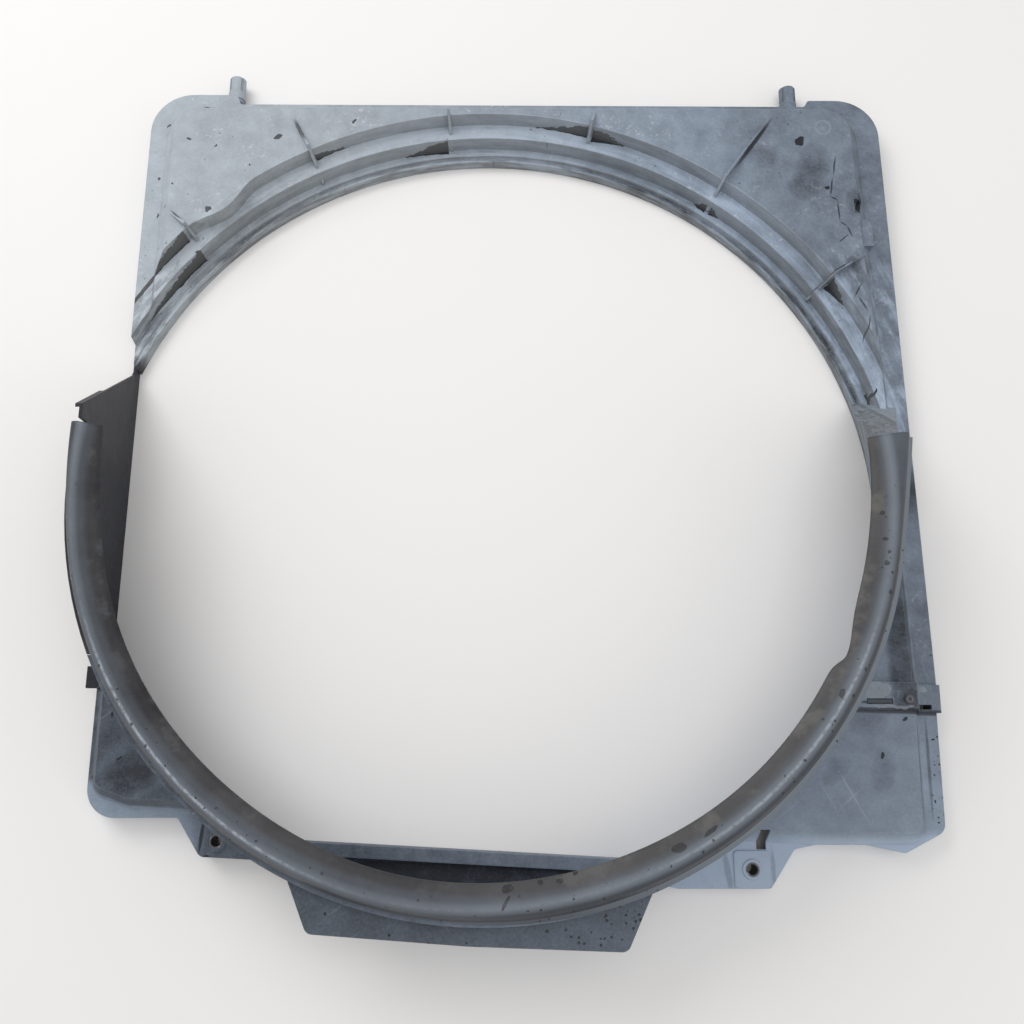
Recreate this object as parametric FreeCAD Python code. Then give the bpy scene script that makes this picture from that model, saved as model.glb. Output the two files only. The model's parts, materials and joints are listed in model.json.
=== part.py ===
import FreeCAD, Part
import math
import os

V = FreeCAD.Vector

# Frame of the part, in mm. The fan axis is Z. Z is 0 on the face that meets the radiator and
# grows towards the fan. Y points up on the vehicle and X to the right, seen from the fan.

# Moulding
wall = 3.0
fit_gap = 0.3
flange_z = 24.0
plate_rise = 20.0
plate_z = flange_z + plate_rise
least_r = 0.5

# Stepped arc round the upper half of the fan opening, from the lip outward
lip_r = 403.5
lip_z = 10.0
bead_width = 5.0
bead_flank = 1.0
bead_rise = 1.5
groove_width = 4.0
groove_depth = 1.2
lower_tread_width = 17.5
lower_step_h = 18.0
lower_step_lean = 2.0
upper_tread_width = 17.0
top_step_lean = 3.0
bead_r = lip_r + bead_width
groove_r = bead_r + groove_width
lower_step_r = lip_r + lower_tread_width
upper_tread_r = lower_step_r + lower_step_lean
upper_step_r = upper_tread_r + upper_tread_width
plate_edge_r = upper_step_r + top_step_lean
upper_tread_z = lip_z + lower_step_h

# Upper moulding outline, as margins beyond the lip. The left side cuts across the round.
left_cut = 23.5
right_top_margin = 34.5
right_seam_margin = 37.5
top_margin = 64.5
side_x = lip_r - left_cut
right_top_x = lip_r + right_top_margin
right_seam_x = lip_r + right_seam_margin
top_y = lip_r + top_margin
left_ear_rise = 12.0
left_ear_width = 94.0
right_ear_rise = 8.0
right_ear_width = 77.0
left_ear_y = top_y + left_ear_rise
left_ear_x = side_x - left_ear_width
right_ear_y = top_y + right_ear_rise
right_ear_x = right_top_x - right_ear_width
ear_corner_r = 46.0
step_r = 4.0

# Flat flange round the raised plate of the upper moulding
left_flange_width = 33.0
right_top_flange_width = 40.0
right_seam_flange_width = 31.0
top_flange_width = 18.0
plate_left_x = side_x - left_flange_width
plate_right_top_x = right_top_x - right_top_flange_width
plate_right_seam_x = right_seam_x - right_seam_flange_width
plate_top_y = top_y - top_flange_width
plate_corner_r = 28.0
band_run = 15.0

# Lower moulding outline
low_seam_inset = 1.0
low_foot_inset = 4.0
low_left_cut = 98.5
low_right_cut = 65.5
low_right_seam_x = right_seam_x - low_seam_inset
low_right_foot_x = low_right_seam_x - low_foot_inset
low_left_y = lip_r - low_left_cut
low_right_y = lip_r - low_right_cut
low_corner_r = 28.0
low_left_flange_width = 14.0
low_right_flange_width = 25.0
low_foot_flange_width = 19.0
low_plate_left_x = side_x - low_left_flange_width
low_plate_right_x = low_right_foot_x - low_right_flange_width
low_plate_left_y = low_left_y - low_foot_flange_width
low_plate_right_y = low_right_y - low_foot_flange_width
low_plate_r = 9.0
low_plate_cut_run = 30.0
low_plate_cut_rise = 11.0
low_plate_knee = 100.0
low_plate_lean = 4.0
low_band_run = 11.0

# Notch and rounded foot at the right end of the lower edge
notch_start = 88.0
notch_start_rise = 15.0
notch_end = 78.0
notch_end_rise = 8.0
foot_run = 40.0
foot_rise = 20.0

# Soft inward wave of the top step
wave_angle = 131.0
wave_half = 6.0
wave_depth = 10.5
wave_points = 11

# Radial ribs, from right to left. Each runs from its start to its end, as distances beyond the lip.
rib_first_angle = 34.2
rib_step_angle = 20.55
rib_start = [83.5, 141.5, 57.5, 42.0, 88.5, 65.5]
rib_end = [14.0, 16.5, 18.5, 16.5, 15.5, 20.5]
rib_thick = 3.0
rib_rise = 9.0
rib_toe = 3.0
rib_crown = 1.0

# Ramp down from the deep ring on the right
ramp_foot_y = 113.0
ramp_foot_z = 15.0
ramp_top_y = 45.0
ramp_inset = 7.0
ramp_foot_x = right_top_x - ramp_inset
ramp_root = 40.0
ramp_tail = 20.0

# Deep ring of the lower half. Its ends stop short of the ramp and of the left side wall.
bell_reach = 28.5
ring_r = lip_r - bell_reach
ring_wall_z = 118.0
ring_flange_z = ring_wall_z + wall
ring_flange_width = 10.0
ring_flange_r = ring_r + wall + ring_flange_width
bell_straight_h = 34.0
bell_bend_drop = 24.0
bell_bend_out = 5.0
bell_top_z = ring_wall_z - bell_straight_h
bell_mid_z = bell_top_z - bell_bend_drop
bell_mid_r = ring_r + bell_bend_out
side_wall_set = 4.0
side_in_x = side_x - side_wall_set
foot_wall_set = 1.0
foot_in_y = ring_r + foot_wall_set

# Left side wall with its sloped edge
left_slope_foot_y = 152.0
left_slope_foot_z = 3.0
left_slope_top_y = 71.0
left_slope_rise = 10.0
left_slope_top_z = ring_flange_z + left_slope_rise
left_wall_end_y = 57.0
left_lip_width = 7.0
left_lip_drop = 49.0
left_lip_z = left_slope_top_z - left_lip_drop
left_end_gap = 8.0
right_end_gap = 5.8
ring_left_angle = 180.0 - math.degrees(math.asin((left_wall_end_y - left_end_gap) / ring_r))
ring_right_angle = 360.0 + math.degrees(math.asin((ramp_top_y - right_end_gap) / ring_r))

# Joint between the two mouldings
seam_y = -195.0
seam_turn = -1.68
seam_overlap = 24.0
butt_gap = 0.6
latch_slot_inset = 78.0
latch_slot_x = right_seam_x - latch_slot_inset
latch_slot_length = 25.0
latch_slot_width = 5.0
latch_slot_rise = 5.5
drain_slot_inset = 25.0
drain_slot_x = right_seam_x - drain_slot_inset
drain_slot_length = 17.0
drain_slot_width = 4.5
drain_slot_rise = 2.5
lug_width = 10.0

# Seam screws with their washers and clip nuts
right_screw_inset = 38.0
right_screw_x = right_seam_x - right_screw_inset
left_screw_inset = 20.5
left_screw_x = left_screw_inset - side_x
screw_rise = 11.0
screw_shank_r = 2.5
screw_head_r = 4.2
screw_head_h = 3.0
screw_head_edge = 0.6
screw_tip = 6.0
socket_r = 1.5
socket_depth = 1.6
washer_r = 4.6
washer_t = 0.8
nut_width = 9.0
nut_t = 1.0
nut_barrel_r = 4.0
nut_barrel_h = 3.5

# Bottom rail and the gutter between it and the ring
rail_set = 38.5
rail_y = rail_set - ring_r
rail_slope = -0.054
rail_width = 12.0
rail_z = 20.0
gutter_z = 8.0
rail_reach = 300.0

# Fixing tabs, each at an angle round the axis and a distance beyond the lip
left_tab_angle = 232.08
left_tab_out = 9.8
left_tab_x = (lip_r + left_tab_out) * math.cos(math.radians(left_tab_angle))
left_tab_y = (lip_r + left_tab_out) * math.sin(math.radians(left_tab_angle))
left_tab_half = 15.0
left_tab_run = 23.0
left_tab_fall = 14.0
right_tab_angle = 305.38
right_tab_out = 28.25
right_tab_x = (lip_r + right_tab_out) * math.cos(math.radians(right_tab_angle))
right_tab_y = (lip_r + right_tab_out) * math.sin(math.radians(right_tab_angle))
pad_width = 34.0
pad_rise = 1.2
pad_r = 4.0
pad_shelf = 70.0
pad_approach = 100.0
pad_approach_rise = 6.0
pad_run = 24.0
pad_run_rise = 4.0
sleeve_bore_r = 4.9
sleeve_wall = 1.6
boss_wall = 2.8
boss_rise = 2.0
tab_slot_side = 9.5
tab_slot_up = 27.5
tab_slot_w = 9.0
tab_slot_h = 19.0

# Locating pegs, each with a plain shoulder and a fluted end
left_peg_inset = 90.0
left_peg_length = 30.0
right_peg_inset = 96.0
right_peg_length = 33.0
left_peg_x = left_peg_inset - side_x
right_peg_x = right_top_x - right_peg_inset
peg_r = 9.5
peg_shoulder_h = 10.0
peg_end_r = 9.1
peg_z = 12.0
peg_dome = 3.0
peg_root = 1.5
flute_width = 2.5
flute_depth = 1.5
flutes = 4
flute_angle = 45.0
peg_block_gap = 2.0
peg_block_w = 6.0
peg_block_h = 7.0

# Pocket on the right band
pocket_inset = 34.0
pocket_x = right_top_x - pocket_inset
pocket_y = 302.0
pocket_w = 22.0
pocket_h = 32.0
pocket_drop = 5.0
pocket_z = plate_z - pocket_drop
hollow_y = 331.0
hollow_h = 18.0
hollow_depth = 10.0
hollow_floor_z = plate_z - hollow_depth

# Rubber seal, its places measured from the ring wall and from the ring flange
seal_lip_reach = 25.0
seal_tip_rise = 16.0
seal_back_run = 11.0
seal_back_fall = 2.6
seal_crest_reach = 3.0
seal_crest_rise = 23.0
seal_flank_run = 3.5
seal_flank_rise = 15.5
seal_foot_reach = 9.0
seal_wall = 4.0
seal_leg = 3.0
seal_leg_depth = 21.0
seal_tip_r = ring_r - seal_lip_reach
seal_tip_z = ring_flange_z + seal_tip_rise
seal_crest_r = ring_r - seal_crest_reach
seal_crest_z = ring_flange_z + seal_crest_rise
seal_foot_r = ring_r + seal_foot_reach
seal_leg_z = ring_flange_z - seal_leg_depth

# Lower deflector, its plan measured from the lowest point of the ring
deflector_drop = 15.0
deflector_z = ring_flange_z - deflector_drop
deflector_t = 3.0
deflector_leg = 20.0
deflector_left_x = -172.0
deflector_right_x = 147.0
deflector_low_left_x = -151.0
deflector_low_right_x = 122.0
deflector_left_rise = 30.0
deflector_right_rise = 18.0
deflector_low_left_reach = 20.0
deflector_mid_reach = 30.0
deflector_low_right_reach = 35.0
deflector_r = 8.0
deflector_mid_r = 32.0
deflector_leg_start = -114.0
deflector_leg_end = -70.0
leg_sink = 1.0

# Rivets of the seal and of the deflector
rivet_r = 2.0
rivet_hole_gap = 0.1
rivet_hole_in = 12.0
rivet_hole_out = 18.0
rivet_head_r = 4.0
rivet_tail_r = 3.2
rivet_head_h = 1.6
seal_rivets = 15
seal_rivet_drop = 8.5
seal_rivet_z = ring_flange_z - seal_rivet_drop
deflector_rivets = 5
deflector_rivet_drop = 12.0
deflector_rivet_z = deflector_z - deflector_rivet_drop

# Reach of the cutting solids past the part
far = 700.0
high = 300.0
below = -20.0


# Basic forms

def unit(x, y):
    length = math.hypot(x, y)
    return x / length, y / length


def corner(points, i):
    """Edge directions, inward normals and turn at one corner of an outline."""
    ax, ay, _ = points[i - 1]
    bx, by, r = points[i]
    cx, cy, _ = points[(i + 1) % len(points)]
    ux, uy = unit(bx - ax, by - ay)
    vx, vy = unit(cx - bx, cy - by)
    spread = 1.0 + uy * vy + ux * vx
    nx = (-uy - vy) / spread
    ny = (ux + vx) / spread
    turn = ux * vy - uy * vx
    return bx, by, r, (ux, uy), (vx, vy), (nx, ny), turn, spread


def inset(points, distance):
    """The same outline, each side moved inward by the distance."""
    moved = []
    for i in range(len(points)):
        bx, by, r, _, _, normal, turn, _ = corner(points, i)
        radius = r - distance if turn > 0 else r + distance
        moved.append((bx + distance * normal[0], by + distance * normal[1], max(radius, least_r)))
    return moved


def outline_wire(points, z):
    """Closed wire through the corners, each rounded with its own radius."""
    stops = []
    for i in range(len(points)):
        bx, by, r, u, v, normal, turn, spread = corner(points, i)
        side = 1.0 if turn > 0 else -1.0
        reach = r * math.sqrt(max(2.0 - spread, 0.0) / spread)
        centre = V(bx + side * r * normal[0], by + side * r * normal[1], z)
        tip = V(bx, by, z) - centre
        tip.normalize()
        start = V(bx - u[0] * reach, by - u[1] * reach, z)
        end = V(bx + v[0] * reach, by + v[1] * reach, z)
        stops.append((start, centre + tip * r, end))
    edges = []
    for i in range(len(stops)):
        start, middle, end = stops[i]
        edges.append(Part.LineSegment(stops[i - 1][2], start).toShape())
        edges.append(Part.Arc(start, middle, end).toShape())
    return Part.Wire(edges)


def prism(points, z0, z1):
    return Part.Face(outline_wire(points, z0)).extrude(V(0, 0, z1 - z0))


def sharp_prism(points, z0, z1):
    wire = Part.makePolygon([V(x, y, z0) for x, y in points + points[:1]])
    return Part.Face(wire).extrude(V(0, 0, z1 - z0))


def taper(low_points, z0, high_points, z1):
    return Part.makeLoft([outline_wire(low_points, z0), outline_wire(high_points, z1)], True, True)


def turned(profile, start=0.0, sweep=360.0):
    """Solid turned about the fan axis from (radius, z) points."""
    wire = Part.makePolygon([V(r, 0, z) for r, z in profile + profile[:1]])
    solid = Part.Face(wire).revolve(V(0, 0, 0), V(0, 0, 1), sweep)
    solid.rotate(V(0, 0, 0), V(0, 0, 1), start)
    return solid


def block(x0, x1, y0, y1, z0, z1):
    return Part.makeBox(x1 - x0, y1 - y0, z1 - z0, V(x0, y0, z0))


def polar(radius, angle, z):
    turn = math.radians(angle)
    return V(radius * math.cos(turn), radius * math.sin(turn), z)


def joined(shapes):
    first = shapes[0]
    return first.multiFuse(shapes[1:]).removeSplitter()


def largest(shape):
    """The main solid, without loose slivers."""
    return max(shape.Solids, key=lambda solid: solid.Volume)


# Outlines, each counter-clockwise as (x, y, corner radius)

seam_tan = math.tan(math.radians(seam_turn))


def seam_at(x, rise=0.0):
    """Y of the joint line at this x."""
    return seam_y + rise + seam_tan * x


def upper_outline():
    return [
        (-side_x, seam_y - seam_overlap, least_r),
        (right_seam_x, seam_y - seam_overlap, least_r),
        (right_top_x, right_ear_y, ear_corner_r),
        (right_ear_x, right_ear_y, step_r),
        (right_ear_x - step_r, top_y, step_r),
        (-left_ear_x + step_r, top_y, step_r),
        (-left_ear_x, left_ear_y, step_r),
        (-side_x, left_ear_y, ear_corner_r),
    ]


def upper_plate():
    return [
        (-plate_left_x, seam_y - seam_overlap, least_r),
        (plate_right_seam_x, seam_y - seam_overlap, least_r),
        (plate_right_top_x, plate_top_y, plate_corner_r),
        (-plate_left_x, plate_top_y, plate_corner_r),
    ]


def lower_outline():
    """The fixing tabs are the two steps along the bottom edge."""
    tab_left = left_tab_x - left_tab_half
    tab_left_y = left_tab_y - left_tab_fall
    pad_right = right_tab_x + pad_width / 2
    pad_low = right_tab_y - pad_width / 2
    return [
        (-side_x, seam_y + 2 * seam_overlap, least_r),
        (-side_x, -low_left_y, low_corner_r),
        (tab_left - left_tab_run, -low_left_y, step_r),
        (tab_left, tab_left_y, 2 * step_r),
        (right_tab_x - pad_approach, pad_low + pad_approach_rise, step_r),
        (right_tab_x - pad_shelf, pad_low, step_r),
        (pad_right, pad_low, step_r),
        (pad_right + pad_run, pad_run_rise - low_right_y, step_r),
        (low_right_foot_x - notch_start, notch_start_rise - low_right_y, step_r),
        (low_right_foot_x - notch_end, notch_end_rise - low_right_y, step_r),
        (low_right_foot_x - foot_run, -low_right_y, 2 * step_r),
        (low_right_foot_x, foot_rise - low_right_y, 3 * step_r),
        (low_right_seam_x, seam_y + 2 * seam_overlap, least_r),
    ]


def lower_plate():
    return [
        (-low_plate_left_x, seam_y + 2 * seam_overlap, least_r),
        (-low_plate_left_x, low_plate_cut_rise - low_plate_left_y, low_plate_r),
        (low_plate_cut_run - low_plate_left_x, -low_plate_left_y, low_plate_r),
        (low_plate_right_x - low_plate_knee, -low_plate_right_y, low_plate_r),
        (low_plate_right_x - low_plate_lean, -low_plate_right_y, low_plate_r),
        (low_plate_right_x, seam_y + 2 * seam_overlap, least_r),
    ]


def pan(outline, plate, run, distance):
    """Filled form of a moulding without its fan opening, its faces moved inward by the distance."""
    slope = math.atan2(plate_z - flange_z, run)
    side = distance * math.tan(slope / 2)
    base = below if distance > 0 else 0.0
    skirt = prism(inset(outline, distance), base, flange_z - distance)
    foot = inset(plate, -run)
    hill = taper(inset(foot, side), flange_z - distance, inset(plate, side), plate_z - distance)
    return skirt.fuse(hill)


# Regions that divide the part

def beyond_seam(rise, up):
    """Everything on one side of the joint line."""
    edge = far if up else -far
    points = [(-far, seam_at(-far, rise)), (far, seam_at(far, rise)), (far, edge), (-far, edge)]
    return sharp_prism(points, below * 2, high * 2)


def under_slope(foot_y, foot_z, top_y, top_z, drop):
    """Everything under a plane that climbs towards the deep ring."""
    steep = (top_z - foot_z) / (foot_y - top_y)
    lowered = drop * math.hypot(1.0, steep)
    low_y = foot_y + (foot_z - lowered - 2 * below) / steep
    high_y = foot_y + (foot_z - lowered - 2 * high) / steep
    profile = [V(-far, -far, 2 * below), V(-far, low_y, 2 * below), V(-far, high_y, 2 * high),
               V(-far, -far, 2 * high)]
    wire = Part.makePolygon(profile + profile[:1])
    return Part.Face(wire).extrude(V(2 * far, 0, 0))


def under_ramp(drop):
    return under_slope(ramp_foot_y, ramp_foot_z, ramp_top_y, ring_wall_z, drop)


def wave(distance):
    """Inward wave of the top step, from the upper tread to the plate."""
    base_z = upper_tread_z - distance
    top = plate_z - distance
    rings = []
    for z, radius in ((base_z, upper_step_r + distance), (top, plate_edge_r + distance)):
        curve = []
        for i in range(wave_points):
            share = 2.0 * i / (wave_points - 1) - 1.0
            depth = wave_depth * math.cos(share * math.pi / 2) ** 2
            curve.append(polar(radius - depth, wave_angle + share * wave_half, z))
        outer_r = plate_edge_r + distance + wall
        last = polar(outer_r, wave_angle + wave_half, z)
        first = polar(outer_r, wave_angle - wave_half, z)
        spline = Part.BSplineCurve()
        spline.interpolate(curve)
        sides = [Part.LineSegment(curve[-1], last).toShape(), Part.LineSegment(last, first).toShape(),
                 Part.LineSegment(first, curve[0]).toShape()]
        rings.append(Part.Wire([spline.toShape()] + sides))
    return Part.makeLoft(rings, True, True)


def steps_air(distance):
    """Air over the stepped arc, moved into the material by the distance."""
    d = distance
    profile = [(0.0, 2 * below), (lip_r + d, 2 * below)]
    if d > 0:
        profile += [(lip_r + d, lip_z - d)]
    else:
        profile += [(lip_r, lip_z), (lip_r + bead_flank, lip_z + bead_rise),
                    (bead_r - bead_flank, lip_z + bead_rise), (bead_r, lip_z - groove_depth),
                    (groove_r - bead_flank, lip_z - groove_depth),
                    (groove_r, lip_z)]
    profile += [
        (lower_step_r + d, lip_z - d),
        (upper_tread_r + d, upper_tread_z - d),
        (upper_step_r + d, upper_tread_z - d),
        (plate_edge_r + d, plate_z - d),
        (plate_edge_r + d, high),
        (0.0, high),
    ]
    return turned(profile).cut(wave(d)).cut(under_ramp(d))


def bell_air(distance, limit):
    """Air inside the flared wall of the deep ring. The flat sides of the frame limit it."""
    d = distance
    profile = [
        (0.0, 2 * below),
        (lip_r + d, 2 * below),
        (lip_r + d, lip_z),
        (bell_mid_r + d, bell_mid_z),
        (ring_r + d, bell_top_z),
        (ring_r + d, high),
        (0.0, high),
    ]
    room = block(-side_in_x - limit, far, -foot_in_y - limit, far, 2 * below, high)
    return turned(profile).common(room)


# Deep ring

def bell_wall():
    """Flared wall from the face at the radiator up to the ring flange."""
    outer = bell_air(wall, wall).common(block(-far, far, -far, far, 0.0, ring_wall_z))
    return outer.common(under_ramp(0.0)).cut(bell_air(0.0, 0.0))


def ring_flange():
    profile = [(ring_r, ring_wall_z), (ring_flange_r, ring_wall_z),
               (ring_flange_r, ring_flange_z), (ring_r, ring_flange_z)]
    return turned(profile, ring_left_angle, ring_right_angle - ring_left_angle)


def ramp_line(offset):
    """Plan of the ramp, its outer side moved inward by the offset."""
    return [
        (ring_r - ramp_root, ramp_top_y),
        (ring_flange_r - offset, ramp_top_y),
        (ramp_foot_x - offset, ramp_foot_y),
        (ramp_foot_x - offset, ramp_foot_y + ramp_tail),
        (ring_r - ramp_root, ramp_foot_y + ramp_tail),
    ]


def ramp():
    """Sloped face on the right with its outer side wall and the wall that closes it to the ring."""
    plan = sharp_prism(ramp_line(0.0), flange_z - wall, ring_wall_z)
    inner = sharp_prism(ramp_line(wall), 2 * below, high)
    hollow = inner.common(under_ramp(wall)).cut(block(0, far, -far, ramp_top_y + wall, 2 * below, high))
    return plan.common(under_ramp(0.0)).cut(hollow)


def left_wall():
    """Flat side wall on the left with its sloped edge and the lip outside that edge."""
    slope = (left_slope_foot_y, left_slope_foot_z, left_slope_top_y, left_slope_top_z)
    low = block(-side_in_x - wall, -side_in_x, 0.0, left_wall_end_y, 0.0, ring_wall_z)
    rising = block(-side_in_x - wall, -side_in_x, left_wall_end_y, far, 0.0, left_slope_top_z)
    rising = rising.common(under_slope(*slope, 0.0))
    lip = block(-side_in_x - left_lip_width, -side_in_x, left_wall_end_y, far, left_lip_z,
                left_slope_top_z)
    lip = lip.common(under_slope(*slope, 0.0)).cut(under_slope(*slope, wall))
    return [low, rising, lip]


# Details

def ribs():
    """Radial ribs over the steps. They start deep in the filled form, which is hollowed later."""
    made = []
    for i in range(len(rib_start)):
        start_r = lip_r + rib_start[i]
        end_r = lip_r + rib_end[i]
        section = [(start_r, lip_z / 2), (start_r, plate_z), (plate_edge_r + rib_crown, plate_z + rib_rise),
                   (end_r, lip_z + rib_toe), (end_r, lip_z / 2)]
        wire = Part.makePolygon([V(r, -rib_thick / 2, z) for r, z in section + section[:1]])
        rib = Part.Face(wire).extrude(V(0, rib_thick, 0))
        rib.rotate(V(0, 0, 0), V(0, 0, 1), rib_first_angle + i * rib_step_angle)
        made.append(rib)
    return made


def peg(x, root_y, length, with_block):
    """Peg on the top edge: a plain shoulder and a thinner fluted end with a dome."""
    tip_y = root_y + length
    root_r = peg_r - peg_root
    root = Part.makeCylinder(root_r, wall + peg_shoulder_h, V(x, root_y - wall, peg_z), V(0, 1, 0))
    shoulder = Part.makeCylinder(peg_r, peg_shoulder_h, V(x, root_y, peg_z), V(0, 1, 0))
    end = Part.makeCylinder(peg_end_r, length, V(x, root_y, peg_z), V(0, 1, 0))
    dome_r = (peg_end_r ** 2 + peg_dome ** 2) / (2 * peg_dome)
    ball = Part.makeSphere(dome_r, V(x, tip_y - dome_r, peg_z))
    below_dome = block(x - peg_r, x + peg_r, root_y, tip_y - peg_dome, peg_z - peg_r, peg_z + peg_r)
    end = end.common(ball.fuse(below_dome))
    for i in range(flutes):
        flute = block(-flute_width / 2, flute_width / 2, peg_shoulder_h, 2 * length,
                      peg_end_r - flute_depth, peg_end_r + flute_depth)
        flute.rotate(V(0, 0, 0), V(0, 1, 0), flute_angle + i * 360.0 / flutes)
        flute.translate(V(x, root_y, peg_z))
        end = end.cut(flute)
    pieces = [root, shoulder, end]
    if with_block:
        near = x + peg_r + peg_block_gap
        away = near + peg_block_w
        pieces.append(block(near, away, root_y - wall, root_y + peg_block_h, 0.0, peg_z + wall))
    return pieces


def boss(x, y):
    outer_r = sleeve_bore_r + sleeve_wall + boss_wall
    return Part.makeCylinder(outer_r, flange_z + boss_rise, V(x, y, 0))


def boss_bore(x, y):
    return Part.makeCylinder(sleeve_bore_r + sleeve_wall, high, V(x, y, below))


def rail():
    """Bottom rail and the gutter floor that ties it to the ring wall."""
    def line(x, drop):
        return (x, rail_y + rail_slope * x - drop)

    def strip(x_reach, near, away):
        return [line(-x_reach, away), line(x_reach, away), line(x_reach, near), line(-x_reach, near)]

    body = sharp_prism(strip(rail_reach, 0.0, rail_width), 0.0, rail_z)
    hollow = sharp_prism(strip(far, wall, rail_width - wall), below, rail_z - wall)
    floor_plan = [(-rail_reach, -far), (rail_reach, -far), line(rail_reach, rail_width - wall),
                  line(-rail_reach, rail_width - wall)]
    floor = sharp_prism(floor_plan, gutter_z - wall, gutter_z)
    room = bell_air(wall / 2, wall / 2)
    return body.cut(hollow).fuse(floor).common(room)


def under_gutter():
    """Space below the gutter, where the ring wall stops short of the radiator face."""
    plan = [(-rail_reach, -far), (rail_reach, -far),
            (rail_reach, rail_y + rail_slope * rail_reach - rail_width),
            (-rail_reach, rail_y - rail_slope * rail_reach - rail_width)]
    return sharp_prism(plan, 2 * below, gutter_z - wall)


def radial(shape, angle):
    shape.rotate(V(0, 0, 0), V(0, 0, 1), angle)
    return shape


def seal_rivet_angles():
    span = ring_right_angle - ring_left_angle
    return [ring_left_angle + span * (i + 0.5) / seal_rivets for i in range(seal_rivets)]


def deflector_rivet_angles():
    span = deflector_leg_end - deflector_leg_start
    return [deflector_leg_start + span * (i + 0.5) / deflector_rivets for i in range(deflector_rivets)]


def rivet_holes():
    """Holes for both rows of rivets through the ring wall, the seal leg and the deflector leg."""
    holes = []
    rows = ((seal_rivet_angles(), seal_rivet_z), (deflector_rivet_angles(), deflector_rivet_z))
    for angles, z in rows:
        for angle in angles:
            hole = Part.makeCylinder(rivet_r + rivet_hole_gap, rivet_hole_in + rivet_hole_out,
                                    V(ring_r - rivet_hole_in, 0, z), V(1, 0, 0))
            holes.append(radial(hole, angle))
    return holes


def tail_seats():
    """Spot faces for the outer ends of the seal rivets, where the flat side wall is thicker."""
    seats = []
    for angle in seal_rivet_angles():
        seat = Part.makeCylinder(rivet_head_r, 2 * wall, V(ring_r + wall, 0, seal_rivet_z), V(1, 0, 0))
        seats.append(radial(seat, angle))
    return seats


def rivets(angles, z, head_x, head_side, tail_x):
    """Row of rivets. The head and the tail clamp the stack between them."""
    made = []
    for angle in angles:
        head_start = head_x - rivet_head_h if head_side < 0 else head_x
        tail_start = tail_x if head_side < 0 else tail_x - rivet_head_h
        low = min(head_x, tail_x)
        shank = Part.makeCylinder(rivet_r, abs(tail_x - head_x), V(low, 0, z), V(1, 0, 0))
        head = Part.makeCylinder(rivet_head_r, rivet_head_h, V(head_start, 0, z), V(1, 0, 0))
        tail = Part.makeCylinder(rivet_tail_r, rivet_head_h, V(tail_start, 0, z), V(1, 0, 0))
        made.append(radial(joined([shank, head, tail]), angle))
    return Part.makeCompound(made)


# Seam fasteners

def seam_screws():
    """Side, x and y of each seam screw."""
    return [("left", left_screw_x, seam_at(left_screw_x, screw_rise)),
            ("right", right_screw_x, seam_at(right_screw_x, screw_rise))]


def strip_top_z():
    """Top of the raised edge strip of the upper moulding."""
    return plate_z + fit_gap + wall


def screw_holes():
    return [Part.makeCylinder(screw_shank_r + fit_gap, high, V(x, y, below))
            for _, x, y in seam_screws()]


def seam_screw(x, y):
    seat = strip_top_z() + washer_t
    tip_z = plate_z - wall - nut_t - nut_barrel_h - screw_tip
    shank = Part.makeCylinder(screw_shank_r, seat - tip_z, V(x, y, tip_z))
    head = Part.makeCylinder(screw_head_r, screw_head_h, V(x, y, seat))
    head = head.makeChamfer(screw_head_edge, [head.Edges[0]])
    socket = Part.makeCylinder(socket_r, socket_depth, V(x, y, seat + screw_head_h - socket_depth))
    return shank.fuse(head).removeSplitter().cut(socket)


def seam_washer(x, y):
    ring = Part.makeCylinder(washer_r, washer_t, V(x, y, strip_top_z()))
    return ring.cut(Part.makeCylinder(screw_shank_r + fit_gap / 2, high, V(x, y, below)))


def clip_nut(x, y):
    """Flat nut plate with a threaded barrel, pressed to the underside of the lower moulding."""
    top = plate_z - wall
    half = nut_width / 2
    plate = block(x - half, x + half, y - half, y + half, top - nut_t, top)
    barrel = Part.makeCylinder(nut_barrel_r, nut_barrel_h, V(x, y, top - nut_t - nut_barrel_h))
    return plate.fuse(barrel).cut(Part.makeCylinder(screw_shank_r, high, V(x, y, below)))


def strip_slots():
    """Latch slot and drain slot near the right end of the joint."""
    latch_y = seam_at(latch_slot_x, latch_slot_rise)
    drain_y = seam_at(drain_slot_x, drain_slot_rise)
    latch = block(latch_slot_x, latch_slot_x + latch_slot_length, latch_y, latch_y + latch_slot_width,
                  plate_z, high)
    drain = block(drain_slot_x, drain_slot_x + drain_slot_length, drain_y, drain_y + drain_slot_width,
                  below, high)
    return latch, drain


def latch_hook():
    """Low bar of the lower moulding that snaps into the latch slot."""
    y = seam_at(latch_slot_x, latch_slot_rise)
    gap = 2 * fit_gap
    return block(latch_slot_x + gap, latch_slot_x + latch_slot_length - gap, y + gap,
                 y + latch_slot_width - gap, plate_z - wall, strip_top_z() - fit_gap)


# Mouldings

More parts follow.
